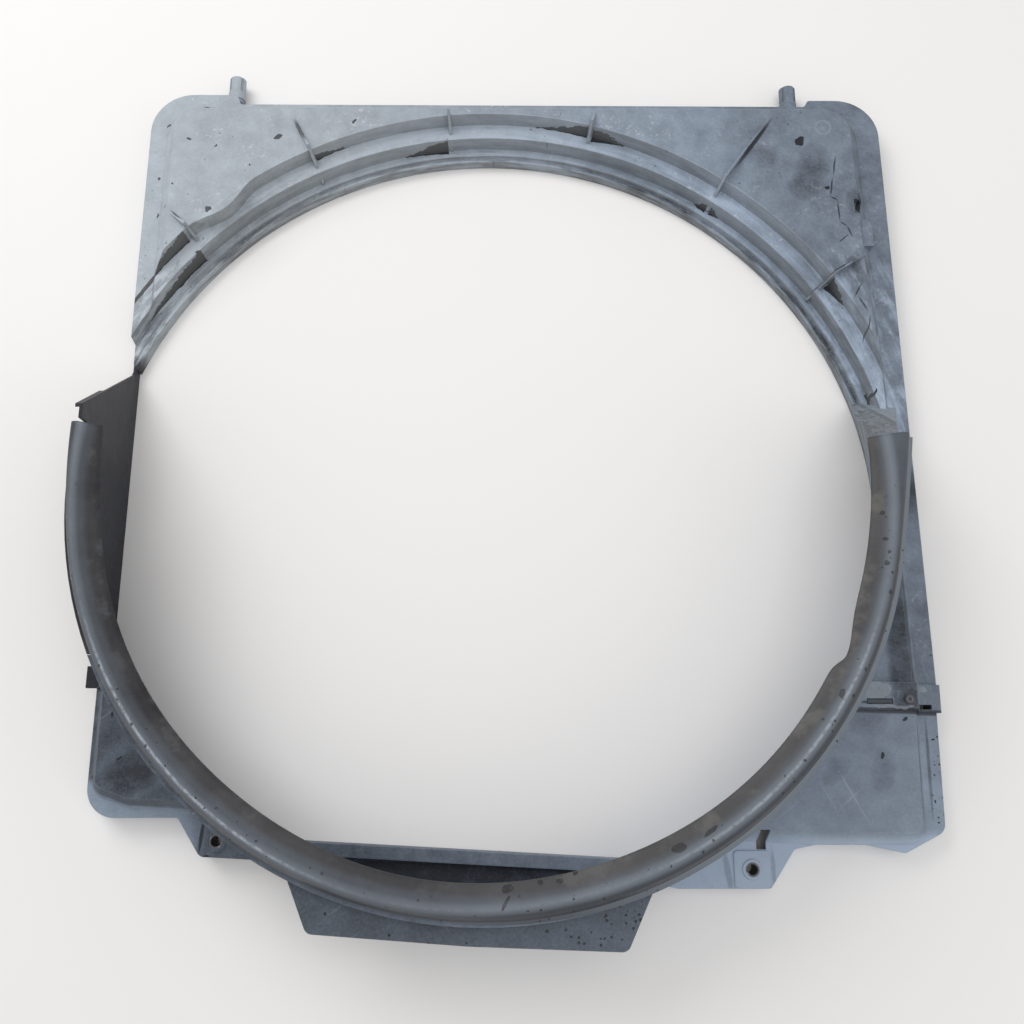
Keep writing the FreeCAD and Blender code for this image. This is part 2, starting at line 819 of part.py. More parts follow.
def upper_shroud():
    region = beyond_seam(seam_overlap, True)
    outer = pan(upper_outline(), upper_plate(), band_run, 0.0).common(region)
    inner = pan(upper_outline(), upper_plate(), band_run, wall)
    pocket = block(pocket_x - pocket_w / 2, pocket_x + pocket_w / 2, pocket_y - pocket_h / 2,
                   pocket_y + pocket_h / 2, flange_z / 2, pocket_z)
    hollow = block(pocket_x - pocket_w / 2 + wall, pocket_x + pocket_w / 2, hollow_y - hollow_h / 2,
                   hollow_y + hollow_h / 2, hollow_floor_z, high)
    under = block(pocket_x - pocket_w / 2, pocket_x + pocket_w / 2 + wall, hollow_y - hollow_h / 2 - wall,
                  hollow_y + hollow_h / 2 + wall, hollow_floor_z - wall, plate_z)
    filled = outer.cut(steps_air(0.0)).multiFuse([pocket] + ribs()).cut(hollow)
    cavity = inner.cut(steps_air(wall)).cut(under)
    left_air = block(-side_in_x, 0.0, 0.0, left_slope_foot_y, 2 * below, high)
    body = filled.cut(cavity).cut(bell_air(0.0, 0.0)).cut(left_air)
    ring = bell_wall().common(region).cut(left_air)
    slope = ramp().cut(bell_air(0.0, 0.0))
    low_run = pan(lower_outline(), lower_plate(), low_band_run, -fit_gap)
    high_run = pan(lower_outline(), lower_plate(), low_band_run, -fit_gap - wall)
    strip = high_run.cut(low_run).common(beyond_seam(0.0, True)).common(beyond_seam(seam_overlap, False))
    step = high_run.cut(inner).common(beyond_seam(seam_overlap, True))
    step = step.common(beyond_seam(seam_overlap + wall, False))
    outside_bell = bell_air(wall + fit_gap, wall + fit_gap)
    strip = strip.cut(outside_bell)
    step = step.cut(bell_air(wall / 2, wall / 2))
    lug = block(-side_x - lug_width, -side_x + fit_gap, seam_at(-side_x),
                seam_at(-side_x, seam_overlap - wall), flange_z - wall, flange_z + wall)
    flange = ring_flange().common(beyond_seam(seam_overlap, True))
    parts = [body, ring, slope, strip, step, lug, flange] + left_wall()
    parts += peg(left_peg_x, left_ear_y, left_peg_length, True)
    parts += peg(right_peg_x, top_y, right_peg_length, False)
    whole = joined(parts)
    whole = whole.cut(list(strip_slots()) + screw_holes() + rivet_holes() + tail_seats())
    return largest(whole)


def lower_shroud():
    outer = pan(lower_outline(), lower_plate(), low_band_run, 0.0)
    inner = pan(lower_outline(), lower_plate(), low_band_run, wall)
    skin = outer.cut(inner).cut(bell_air(wall / 2, wall / 2))
    skin = skin.common(beyond_seam(seam_overlap - fit_gap, False))
    ring = bell_wall().cut(under_gutter()).common(beyond_seam(seam_overlap - butt_gap, False))
    flange = ring_flange().common(beyond_seam(seam_overlap - butt_gap, False))
    pad = prism([(right_tab_x - pad_width / 2, right_tab_y - pad_width / 2, pad_r),
                 (right_tab_x + pad_width / 2, right_tab_y - pad_width / 2, pad_r),
                 (right_tab_x + pad_width / 2, right_tab_y + pad_width / 2, pad_r),
                 (right_tab_x - pad_width / 2, right_tab_y + pad_width / 2, pad_r)],
                flange_z - wall, flange_z + pad_rise)
    slot_x = right_tab_x + tab_slot_side
    slot_y = right_tab_y + tab_slot_up
    tab_slot = block(slot_x - tab_slot_w / 2, slot_x + tab_slot_w / 2, slot_y - tab_slot_h / 2,
                     slot_y + tab_slot_h / 2, flange_z - wall, high)
    parts = [skin, ring, flange, pad, rail(), latch_hook()]
    parts += [boss(left_tab_x, left_tab_y), boss(right_tab_x, right_tab_y)]
    whole = joined(parts)
    cuts = [boss_bore(left_tab_x, left_tab_y), boss_bore(right_tab_x, right_tab_y), tab_slot]
    cuts += [strip_slots()[1]] + screw_holes() + rivet_holes()
    return largest(whole.cut(cuts))


def tab_sleeve(x, y):
    outer = Part.makeCylinder(sleeve_bore_r + sleeve_wall, flange_z + boss_rise, V(x, y, 0))
    return outer.cut(Part.makeCylinder(sleeve_bore_r, high, V(x, y, below)))


def beside(points, distance):
    """Points at a distance to the left of an open line of (radius, z) points."""
    moved = []
    for i in range(len(points)):
        r0, z0 = points[max(i - 1, 0)]
        r1, z1 = points[min(i + 1, len(points) - 1)]
        ur, uz = unit(r1 - r0, z1 - z0)
        moved.append((points[i][0] - distance * uz, points[i][1] + distance * ur))
    return moved


def curve_edge(points):
    line = Part.BSplineCurve()
    line.interpolate([V(r, 0, z) for r, z in points])
    return line.toShape()


def ring_seal():
    """Rubber lip: a leg inside the ring wall, a foot on the flange and an arch that reaches inward."""
    floor = ring_flange_z
    leg_out = ring_r - fit_gap / 2
    leg_in = leg_out - seal_leg
    outer = [(seal_foot_r, floor + seal_wall), (seal_foot_r - seal_flank_run, floor + seal_flank_rise),
             (seal_crest_r, seal_crest_z), (seal_crest_r - seal_back_run, seal_crest_z - seal_back_fall),
             (seal_tip_r, seal_tip_z)]
    inner = beside(outer[1:], seal_wall)[::-1] + [(seal_foot_r - seal_wall, floor + seal_wall)]
    stops = [inner[-1], (leg_in, floor + seal_wall), (leg_in, seal_leg_z), (leg_out, seal_leg_z),
             (leg_out, floor), (seal_foot_r, floor), outer[0]]
    leg = Part.makePolygon([V(r, 0, z) for r, z in stops])
    tip = Part.makePolygon([V(r, 0, z) for r, z in (outer[-1], inner[0])])
    section = Part.Wire([curve_edge(outer)] + tip.Edges + [curve_edge(inner)] + leg.Edges)
    seal = Part.Face(section).revolve(V(0, 0, 0), V(0, 0, 1), ring_right_angle - ring_left_angle)
    seal.rotate(V(0, 0, 0), V(0, 0, 1), ring_left_angle)
    return seal.cut(rivet_holes()[:seal_rivets])


def lower_deflector():
    """Trapezoid plate below the ring with a curved leg against the ring wall."""
    seat_r = ring_r + wall + fit_gap
    mid_x = (deflector_low_left_x + deflector_low_right_x) / 2
    plan = [
        (deflector_left_x, deflector_left_rise - ring_r, least_r),
        (deflector_low_left_x, -ring_r - deflector_low_left_reach, deflector_r),
        (mid_x, -ring_r - deflector_mid_reach, deflector_mid_r),
        (deflector_low_right_x, -ring_r - deflector_low_right_reach, deflector_r),
        (deflector_right_x, deflector_right_rise - ring_r, least_r),
        (0.0, -ring_r / 2, least_r),
    ]
    plate = prism(plan, deflector_z - deflector_t, deflector_z)
    low_z = deflector_z - deflector_leg
    leg = turned([(seat_r - leg_sink, low_z), (seat_r + deflector_t, low_z),
                  (seat_r + deflector_t, deflector_z), (seat_r - leg_sink, deflector_z)],
                 deflector_leg_start, deflector_leg_end - deflector_leg_start)
    whole = joined([plate, leg])
    whole = whole.cut(Part.makeCylinder(seat_r, high, V(0, 0, 0)))
    return largest(whole.cut(rivet_holes()[seal_rivets:]))


# Build and write

leg_in_r = ring_r - fit_gap / 2 - seal_leg
nodes = {
    "upper_shroud": upper_shroud(),
    "lower_shroud": lower_shroud(),
    "ring_seal": ring_seal(),
    "seal_rivets": rivets(seal_rivet_angles(), seal_rivet_z, leg_in_r, -1, ring_r + wall),
    "lower_deflector": lower_deflector(),
    "deflector_rivets": rivets(deflector_rivet_angles(), deflector_rivet_z,
                               ring_r + wall + fit_gap + deflector_t, 1, ring_r),
    "left_tab_sleeve": tab_sleeve(left_tab_x, left_tab_y),
    "right_tab_sleeve": tab_sleeve(right_tab_x, right_tab_y),
}
for side, x, y in seam_screws():
    nodes[side + "_seam_screw"] = seam_screw(x, y)
    nodes[side + "_seam_washer"] = seam_washer(x, y)
    nodes[side + "_clip_nut"] = clip_nut(x, y)

os.makedirs("parts", exist_ok=True)
for name, shape in nodes.items():
    shape.exportStep("parts/" + name + ".step")
    box = shape.BoundBox
    print(name, "solids", len(shape.Solids), "valid", shape.isValid(), "volume", round(shape.Volume),
          [round(v, 1) for v in (box.XMin, box.XMax, box.YMin, box.YMax, box.ZMin, box.ZMax)])
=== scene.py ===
# %% [markdown]
# # A moulded fan shroud, wet and dusty from use
# The object is the plastic frame that leads the air of a heavy vehicle's radiator into its fan.
# It has a low stepped upper half, a deep lower half, and a rubber half ring round the deep half.
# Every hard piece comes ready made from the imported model, so the first step only loads it. One
# could also model the frame again here, but a loaded piece is already in its exact place.

# %% Load the frame
import bpy
import bmesh
import json
import math
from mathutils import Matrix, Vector

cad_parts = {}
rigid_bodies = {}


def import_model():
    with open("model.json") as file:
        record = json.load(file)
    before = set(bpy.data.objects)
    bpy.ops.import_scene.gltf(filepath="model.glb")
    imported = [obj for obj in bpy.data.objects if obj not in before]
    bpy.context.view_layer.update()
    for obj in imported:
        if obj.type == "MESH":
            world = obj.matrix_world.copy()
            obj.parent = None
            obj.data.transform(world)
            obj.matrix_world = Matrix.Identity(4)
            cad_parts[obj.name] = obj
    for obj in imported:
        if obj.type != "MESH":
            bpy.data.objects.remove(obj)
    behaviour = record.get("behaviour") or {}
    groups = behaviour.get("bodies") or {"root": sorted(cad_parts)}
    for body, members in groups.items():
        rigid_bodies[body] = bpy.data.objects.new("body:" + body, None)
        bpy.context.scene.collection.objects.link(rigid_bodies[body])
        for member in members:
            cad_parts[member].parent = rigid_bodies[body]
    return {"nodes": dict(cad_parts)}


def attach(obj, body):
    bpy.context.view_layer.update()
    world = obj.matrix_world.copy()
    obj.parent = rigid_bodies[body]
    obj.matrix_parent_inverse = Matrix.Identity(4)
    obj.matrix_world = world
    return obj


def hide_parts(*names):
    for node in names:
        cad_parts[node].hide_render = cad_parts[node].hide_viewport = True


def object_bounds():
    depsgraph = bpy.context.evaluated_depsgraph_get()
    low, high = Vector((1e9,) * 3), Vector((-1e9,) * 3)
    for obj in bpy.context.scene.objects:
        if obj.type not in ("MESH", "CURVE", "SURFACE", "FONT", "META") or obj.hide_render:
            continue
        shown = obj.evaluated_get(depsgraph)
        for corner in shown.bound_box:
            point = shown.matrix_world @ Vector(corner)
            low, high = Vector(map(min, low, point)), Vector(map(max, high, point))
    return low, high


for leftover in list(bpy.data.objects):
    bpy.data.objects.remove(leftover)
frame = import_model()
cad_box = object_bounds()
nodes = frame["nodes"]
print("pieces from the model:", sorted(nodes))
print("box of the model in metres:", [[round(v, 4) for v in corner] for corner in cad_box])

# %% [markdown]
# ## Camera
# The photograph looks down on the shroud from about a metre above the floor, a little from the
# low side. The place, the three turns and the focal length were found by matching the round
# lip and the corners of the frame. A longer lens from further away would flatten the deep ring,
# so the short distance is kept.

# %% Camera at the photograph's angle
camera_place = (0.0163195, -0.2507993, 1.014769)
camera_turn = (0.24174669, -0.00817098, -0.00063852)
focal_px = 1000.355
image_px = 1024
sensor_mm = 36.0

bpy.context.scene.view_settings.view_transform = "Standard"
lens = bpy.data.cameras.new("photo_camera")
lens.sensor_width = sensor_mm
lens.lens = sensor_mm * focal_px / image_px
camera = bpy.data.objects.new("photo_camera", lens)
camera.location = camera_place
camera.rotation_euler = camera_turn
bpy.context.scene.collection.objects.link(camera)
bpy.context.scene.camera = camera
print("camera height over the floor, m:", camera.location.z, "lens, mm:", round(lens.lens, 2))

# %% [markdown]
# ## Floor and light
# A plain pale floor lies under the shroud and keeps its shadow. A soft even sky would leave the
# moulding flat, and one small lamp would give hard shadows. So a pale world does most of the
# work and three broad lamps add to it. The brightest hangs towards the upper left corner,
# where the real plastic shines most.

# %% Floor
floor_tone = (0.88, 0.87, 0.865, 1.0)
floor_half = 6.0
under_object = 0.0005

floor_mesh = bpy.data.meshes.new("pale_floor")
corners = [(-floor_half, -floor_half, 0), (floor_half, -floor_half, 0),
           (floor_half, floor_half, 0), (-floor_half, floor_half, 0)]
floor_mesh.from_pydata(corners, [], [(0, 1, 2, 3)])
floor = bpy.data.objects.new("pale_floor", floor_mesh)
bpy.context.scene.collection.objects.link(floor)
floor.location.z = cad_box[0][2] - under_object
floor_finish = bpy.data.materials.new("pale_floor")
floor_finish.use_nodes = True
floor_shader = floor_finish.node_tree.nodes["Principled BSDF"]
floor_shader.inputs["Base Color"].default_value = floor_tone
floor_shader.inputs["Roughness"].default_value = 0.85
floor_mesh.materials.append(floor_finish)
print("floor lies at z, m:", round(floor.location.z, 4))

# %% World and lamps
sky_tone = (1.0, 0.99, 0.98, 1.0)
sky_strength = 0.58
object_middle = (0, 0, 0)

world = bpy.data.worlds.new("soft_sky")
bpy.context.scene.world = world
world.use_nodes = True
world.node_tree.nodes["Background"].inputs["Color"].default_value = sky_tone
world.node_tree.nodes["Background"].inputs["Strength"].default_value = sky_strength


def soft_lamp(name, place, aim, size, watts):
    """A square lamp that points from its place at the aim."""
    light = bpy.data.lights.new(name, "AREA")
    light.shape = "SQUARE"
    light.size = size
    light.energy = watts
    lamp = bpy.data.objects.new(name, light)
    lamp.location = place
    lamp.rotation_euler = (Vector(aim) - Vector(place)).to_track_quat("-Z", "Y").to_euler()
    bpy.context.scene.collection.objects.link(lamp)


soft_lamp("window_upper_left", (-1.5, 1.7, 2.1), object_middle, 1.8, 36)
soft_lamp("ceiling", (0.3, -0.1, 2.9), object_middle, 2.0, 17)
soft_lamp("fill_right", (2.4, -0.9, 1.5), object_middle, 1.6, 5)

# %% [markdown]
# ## Small tools for finishes
# A finish here is a tree of shader nodes that reads the place on the object in metres, so the
# marks keep their real size and need no picture file. Writing each node out takes many lines.
# So the first helpers add a node, do a sum and mix two colours. They could be node groups, but
# plain functions are easier to read and to follow line by line.

# %% Helpers that build a finish
def new_finish(name):
    finish = bpy.data.materials.new(name)
    finish.use_nodes = True
    return finish, finish.node_tree, finish.node_tree.nodes["Principled BSDF"]


def add(tree, kind, links=None, values=None, **settings):
    """Adds a node. Links feed its inputs from other nodes, and values are typed into them."""
    node = tree.nodes.new(kind)
    for key, setting in settings.items():
        setattr(node, key, setting)
    for key, value in (values or {}).items():
        node.inputs[key].default_value = value
    for key, source in (links or {}).items():
        tree.links.new(source, node.inputs[key])
    return node


def calc(tree, operation, *terms, clamp=False):
    """A sum of numbers and sockets."""
    node = tree.nodes.new("ShaderNodeMath")
    node.operation = operation
    node.use_clamp = clamp
    for i, term in enumerate(terms):
        if isinstance(term, (int, float)):
            node.inputs[i].default_value = term
        else:
            tree.links.new(term, node.inputs[i])
    return node.outputs[0]


def times(tree, *terms):
    """The product of masks and numbers."""
    result = terms[0]
    for term in terms[1:]:
        result = calc(tree, "MULTIPLY", result, term)
    return result


def lay(tree, film, mask, amount):
    """Adds an amount of dust where the mask is 1. A negative amount takes it away."""
    return calc(tree, "MULTIPLY_ADD", mask, amount, film)


def fade(tree, source, start, end, low=0.0, high=1.0):
    """Turns a value that runs from start to end into a smooth mask from low to high."""
    node = add(tree, "ShaderNodeMapRange", links={"Value": source}, interpolation_type="SMOOTHSTEP",
               values={"From Min": start, "From Max": end, "To Min": low, "To Max": high})
    return node.outputs["Result"]


def tint(tree, mask, under, over):
    """Colour under where the mask is 0, colour over where it is 1."""
    node = tree.nodes.new("ShaderNodeMix")
    node.data_type = "RGBA"
    for index, term in ((0, mask), (6, under), (7, over)):
        if isinstance(term, (int, float, tuple)):
            node.inputs[index].default_value = term if isinstance(term, (int, float)) else (*term, 1.0)
        else:
            tree.links.new(term, node.inputs[index])
    return node.outputs[2]


print("sums and mixes are ready")

# %% [markdown]
# ## Noise and spots
# Dust and water need two kinds of masks. Noise of a known size in millimetres gives clouds, and
# an oval with a known middle and half length gives a single mark. An oval could be a painted
# picture too, but a gradient in its own small space needs no file and stays sharp up close.

# %% Noise and ovals in millimetres
any_height = 1000.0


def speckle(tree, place, size_mm, detail=3.0, rough=0.55, stretch=(1, 1, 1), turn=0.0):
    """Cloudy noise whose blotches are about size_mm wide."""
    if stretch != (1, 1, 1) or turn:
        place = add(tree, "ShaderNodeMapping", links={"Vector": place}, vector_type="TEXTURE",
                    values={"Rotation": (0, 0, math.radians(turn)), "Scale": stretch}).outputs[0]
    node = add(tree, "ShaderNodeTexNoise", links={"Vector": place},
               values={"Scale": 1000.0 / size_mm, "Detail": detail, "Roughness": rough})
    return node.outputs["Fac"]


def oval(tree, place, x_mm, y_mm, half_mm, turn=0.0, across_mm=None):
    """1 at the middle of an oval on the XY plane, falling to 0 at its rim."""
    across = half_mm if across_mm is None else across_mm
    local = add(tree, "ShaderNodeMapping", links={"Vector": place}, vector_type="TEXTURE",
                values={"Location": (x_mm / 1000, y_mm / 1000, 0), "Rotation": (0, 0, math.radians(turn)),
                        "Scale": (half_mm / 1000, across / 1000, any_height)})
    return add(tree, "ShaderNodeTexGradient", links={"Vector": local.outputs[0]},
               gradient_type="SPHERICAL").outputs["Fac"]


def spots(tree, place, marks):
    """The highest of many ovals."""
    level = oval(tree, place, *marks[0])
    for mark in marks[1:]:
        level = calc(tree, "MAXIMUM", level, oval(tree, place, *mark))
    return level


print("noise and ovals are ready")

# %% [markdown]
# ## Weathered black plastic
# The mouldings are black plastic gone blue-grey: a film of road dust, thin where hands and water
# have wiped it. A single grey would look like new paint. The recipe first needs the small
# things: softened edges, moulding grain, edges rubbed pale, and thin scratches in two directions.

# %% Grain, rubbed edges and scratches
edge_softness_mm = 1.4
rubbed_width = 0.0011


def grain_and_edges(tree, place, grain):
    """Softened edges and moulding grain, as a normal for the shader."""
    edge = add(tree, "ShaderNodeBevel", samples=4, values={"Radius": edge_softness_mm / 1000})
    fine = speckle(tree, place, 1.2, 2.0)
    lumps = speckle(tree, place, 14.0, 2.0)
    height = calc(tree, "MULTIPLY_ADD", lumps, 2.5, fine)
    bump = add(tree, "ShaderNodeBump", links={"Height": height, "Normal": edge.outputs[0]},
               values={"Strength": grain, "Distance": 0.0006})
    return bump.outputs[0]


def rubbed_edges(tree, place):
    """1 along the edges, where the softened normal leaves the true one."""
    soft = add(tree, "ShaderNodeBevel", samples=4, values={"Radius": rubbed_width}).outputs[0]
    true = add(tree, "ShaderNodeNewGeometry").outputs["Normal"]
    same = add(tree, "ShaderNodeVectorMath", links={0: soft, 1: true}, operation="DOT_PRODUCT")
    patchy = fade(tree, speckle(tree, place, 20.0, 3.0), 0.38, 0.62, 0.25, 1.0)
    return times(tree, fade(tree, same.outputs["Value"], 0.985, 0.93), patchy)


def scratches(tree, place):
    """Thin light lines in two directions."""
    level = None
    for turn, length in ((28, 60.0), (-52, 45.0)):
        line = speckle(tree, place, 1.6, 1.0, 0.4, (1.0, length, 1.0), turn)
        line = fade(tree, line, 0.71, 0.80)
        level = line if level is None else calc(tree, "MAXIMUM", level, line)
    worn = fade(tree, speckle(tree, place, 90.0, 2.0), 0.45, 0.60)
    return times(tree, level, worn)


print("grain, edges and scratches are ready")

# %% [markdown]
# ## Layers of the weathered plastic
# Dust lies over the dark plastic in clouds of several sizes, then come the scratches and the
# rubbed edges, and last the wet places, which take the dust away and shine. A stack of mixed
# shaders could do the same, but mixing colours into one shader is lighter and bakes cleanly.

# %% Recipe of the weathered plastic
scratch_tone = (0.50, 0.54, 0.58)
rubbed_tone = (0.46, 0.52, 0.58)


def weathered(tree, shader, place, film, clean, dusty, wet, blotch=0.9, grain=0.5, shine=0.50):
    """Joins the layers: dark plastic, dust film, scratches, then wet places on top."""
    cloud = speckle(tree, place, 130.0, 5.0, 0.62)
    mottle = speckle(tree, place, 16.0, 6.0, 0.68)
    grit = speckle(tree, place, 2.6, 3.0, 0.6)
    level = lay(tree, film, calc(tree, "SUBTRACT", cloud, 0.5), 0.65 * blotch)
    level = lay(tree, level, calc(tree, "SUBTRACT", mottle, 0.5), 0.60 * blotch)
    level = calc(tree, "MULTIPLY_ADD", calc(tree, "SUBTRACT", grit, 0.5), 0.25, level, clamp=True)
    colour = tint(tree, level, clean, dusty)
    colour = tint(tree, times(tree, scratches(tree, place), 0.30), colour, scratch_tone)
    colour = tint(tree, times(tree, rubbed_edges(tree, place), 0.40), colour, rubbed_tone)
    # The wet mask darkens and shines. On the mouldings it also carries painted shadows.
    soaked = tuple(0.35 * c for c in clean)
    colour = tint(tree, times(tree, wet, 0.93), colour, soaked)
    tree.links.new(colour, shader.inputs["Base Color"])
    dull = calc(tree, "MULTIPLY_ADD", level, 0.16, shine)
    dull = calc(tree, "MULTIPLY_ADD", calc(tree, "SUBTRACT", mottle, 0.5), 0.22, dull)
    rough = times(tree, dull, calc(tree, "SUBTRACT", 1.0, times(tree, wet, 0.72)))
    tree.links.new(rough, shader.inputs["Roughness"])
    shader.inputs["Specular IOR Level"].default_value = 0.28
    tree.links.new(grain_and_edges(tree, place, grain), shader.inputs["Normal"])


print("the recipe lays dust over dark plastic")

# %% [markdown]
# ## Shapes of the water
# Water on dusty plastic never has a clean outline. Three shapes are enough here: wedges that
# stand in the corners of the steps against a rib, spots with a torn rim, and small drops. The
# outline is made uneven by moving the place with noise before the shape is drawn.

# %% Wedges, torn spots and drops
def warped(tree, place, size_mm, shift_mm):
    """The same place pushed about by noise, so that what is drawn on it gets an uneven outline."""
    noise = add(tree, "ShaderNodeTexNoise", links={"Vector": place},
                values={"Scale": 1000.0 / size_mm, "Detail": 3.0}).outputs["Color"]
    push = add(tree, "ShaderNodeVectorMath", links={0: noise}, operation="SUBTRACT")
    push.inputs[1].default_value = (0.5, 0.5, 0.5)
    moved = add(tree, "ShaderNodeVectorMath", links={0: push.outputs[0], 2: place}, operation="MULTIPLY_ADD")
    moved.inputs[1].default_value = (shift_mm / 500, shift_mm / 500, 0.0)
    return moved.outputs[0]


def wedge(tree, polar, z, foot, tread_mm, rise_mm, rib_angle, tip_angle):
    """1 on a wet wedge in the corner of a step: widest at the rib, a point at the tip angle."""
    round_r, bearing = polar
    foot_r, foot_z = foot
    limits = {"From Min": math.radians(rib_angle), "From Max": math.radians(tip_angle)}
    along = add(tree, "ShaderNodeMapRange", links={"Value": bearing}, values=limits).outputs["Result"]
    on_tread = calc(tree, "DIVIDE", calc(tree, "SUBTRACT", foot_r / 1000, round_r),
                    calc(tree, "MULTIPLY_ADD", along, -tread_mm / 1000, tread_mm / 1000 + 0.0002))
    on_riser = calc(tree, "DIVIDE", calc(tree, "SUBTRACT", z, foot_z / 1000),
                    calc(tree, "MULTIPLY_ADD", along, -rise_mm / 1000, rise_mm / 1000 + 0.0002))
    inside = fade(tree, calc(tree, "MAXIMUM", on_tread, on_riser), 1.0, 0.75)
    before_plate = fade(tree, round_r, foot_r / 1000 + 0.0042, foot_r / 1000 + 0.0036)
    ends = times(tree, fade(tree, along, 0.0, 0.02), fade(tree, along, 1.0, 0.94))
    return times(tree, inside, before_plate, ends)


def ragged(tree, place, level, start, end, size_mm=9.0, torn=0.35):
    """A spot mask with an uneven rim, as water leaves on dusty plastic."""
    noise = calc(tree, "SUBTRACT", speckle(tree, place, size_mm, 4.0), 0.5)
    uneven = calc(tree, "MULTIPLY_ADD", noise, torn, level)
    return times(tree, fade(tree, uneven, start, end), fade(tree, level, 0.0, 0.08))


def drops(tree, place, spacing_mm, size_mm, share):
    """Small drops of uneven size, one in some of the cells of a pattern."""
    cell = add(tree, "ShaderNodeTexVoronoi", links={"Vector": warped(tree, place, 3.0, 0.9)},
               values={"Scale": 1000.0 / spacing_mm}, voronoi_dimensions="2D")
    pick, large = add(tree, "ShaderNodeSeparateColor", links={"Color": cell.outputs["Color"]}).outputs[:2]
    rim = calc(tree, "MULTIPLY_ADD", large, 1.1 * size_mm / spacing_mm, 0.35 * size_mm / spacing_mm)
    dot = fade(tree, calc(tree, "DIVIDE", cell.outputs["Distance"], rim), 1.0, 0.65)
    return times(tree, dot, calc(tree, "LESS_THAN", pick, share))


print("wedges, torn spots and drops are ready")

# %% [markdown]
# ## Upper moulding
# Its plate is palest at the upper left and darker to the right, from dust and painted sheen. The steps
# round the opening have dusty treads and risers tinted olive by a painted reflection of the floor,
# and the side walls of the deep half are nearly black, the left one from painted shade.
# One could cut the moulding into pieces with one finish each, but it is one piece in
# reality, so one finish reads the place and the slope of the surface to change its tone.
# Each named range below says where a mask is 0 and where it is 1: level_slope is a slope, the
# damp ranges are degrees, and all others are metres.

# %% Where the upper moulding is read
level_slope = (0.75, 0.97)
plate_edge = (0.4445, 0.4425)
above_seams = (0.02, 0.06)

upper_finish, tree, shader = new_finish("upper_moulding_plastic")
where = add(tree, "ShaderNodeTexCoord")
place = where.outputs["Object"]
x, y, z = add(tree, "ShaderNodeSeparateXYZ", links={"Vector": place}).outputs
facing = add(tree, "ShaderNodeSeparateXYZ", links={"Vector": where.outputs["Normal"]}).outputs[2]
flat = fade(tree, facing, *level_slope)
round_r = calc(tree, "SQRT", calc(tree, "ADD", times(tree, x, x), times(tree, y, y)))
bearing = calc(tree, "ARCTAN2", y, x)
on_steps = times(tree, fade(tree, round_r, *plate_edge), fade(tree, y, *above_seams))
print("upper moulding: the tone reads place, slope, radius and bearing")

# %% [markdown]
# ## Dust on the plate and the steps
# Dust and painted sheen thin out from left to right on the plate. On the steps dust lies on the
# treads, and where water ran down on the right it dried in slanting streaks. One noise for all of it
# would look even, so each part of the moulding has its own amount and the streaks have their own stretch.

# %% Dust on the plate and the steps
soft_shade = [
    (352, 378, 34, 78, 20), (345, 352, 20, 0, 20), (399, 338, 18, 85, 12), (300, 395, 20, 20, 16),
    (398, 262, 22, 80, 12),
]
dust_and_sheen_per_metre, dust_and_sheen_in_middle = -0.62, 0.645
upper_tread_start = (0.4225, 0.4235)
damp_start, damp_end = (55, 58), (78, 72)
run_right, run_bottom, run_top = (0.33, 0.37), (0.07, 0.12), (0.30, 0.25)
run_left, run_left_bottom = (-0.29, -0.32), (0.10, 0.15)

# Dust and painted sheen: the plate's film is palest at the left and thins to the right.
plate_dust_and_sheen = calc(tree, "MULTIPLY_ADD", x, dust_and_sheen_per_metre, dust_and_sheen_in_middle)
shade = calc(tree, "SQRT", spots(tree, warped(tree, place, 34.0, 14.0), soft_shade))
plate_dust_and_sheen = lay(tree, plate_dust_and_sheen, shade, -0.20)
upper_tread = times(tree, fade(tree, round_r, *upper_tread_start), fade(tree, y, 0.15, 0.35, 0.18, 0.12))
tread_film = calc(tree, "ADD", upper_tread, fade(tree, y, 0.22, 0.42, 0.50, 0.84))
riser_film = fade(tree, y, 0.15, 0.42, 0.45, 0.80)
step_film = calc(tree, "MULTIPLY_ADD", calc(tree, "SUBTRACT", tread_film, riser_film), flat, riser_film)
damp = times(tree, fade(tree, bearing, *map(math.radians, damp_start)),
             fade(tree, bearing, *map(math.radians, damp_end)))
step_film = lay(tree, step_film, damp, -0.26)
film = calc(tree, "MULTIPLY_ADD", calc(tree, "SUBTRACT", step_film, plate_dust_and_sheen), on_steps, plate_dust_and_sheen)

streak = speckle(tree, place, 12.0, 4.0, 0.6, (1.0, 3.3, 1.0), 22)
right_dust = times(tree, fade(tree, streak, 0.44, 0.66), fade(tree, x, *run_right),
                   fade(tree, y, *run_bottom), fade(tree, y, *run_top))
film = lay(tree, film, right_dust, 0.38)
left_streak = speckle(tree, place, 8.0, 4.0, 0.6, (1.0, 4.0, 1.0), -33)
left_dust = times(tree, fade(tree, left_streak, 0.46, 0.60), fade(tree, x, *run_left), on_steps,
                  fade(tree, y, *run_left_bottom))
film = lay(tree, film, left_dust, 0.50)
print("dust: soft shaded places on the plate", len(soft_shade))

# %% [markdown]
# ## Bare and shaded places
# The deep right side and the lip have little dust. The wall behind the left end of the seal gets
# painted shade: its dust is taken away here and its colour is darkened later. The lip also gets a
# painted highlight along its inner rim. The lip's streaks run round the opening, so their noise reads
# radius and bearing in place of x and y. A straight noise would cross the lip and look like wood grain.

# %% Bare sides
deep_half, right_wall = (0.050, 0.030), (0.384, 0.393)
below_axis, outer_border = (0.02, -0.02), (0.4125, 0.4165)
below_steps, behind_seal_end = (0.17, 0.15), (-0.300, -0.372)

deep_side = times(tree, fade(tree, y, *deep_half), fade(tree, x, *right_wall))
film = lay(tree, film, deep_side, -0.31)
right_edge = times(tree, fade(tree, x, *outer_border), fade(tree, y, *below_axis))
film = lay(tree, film, right_edge, 0.34)
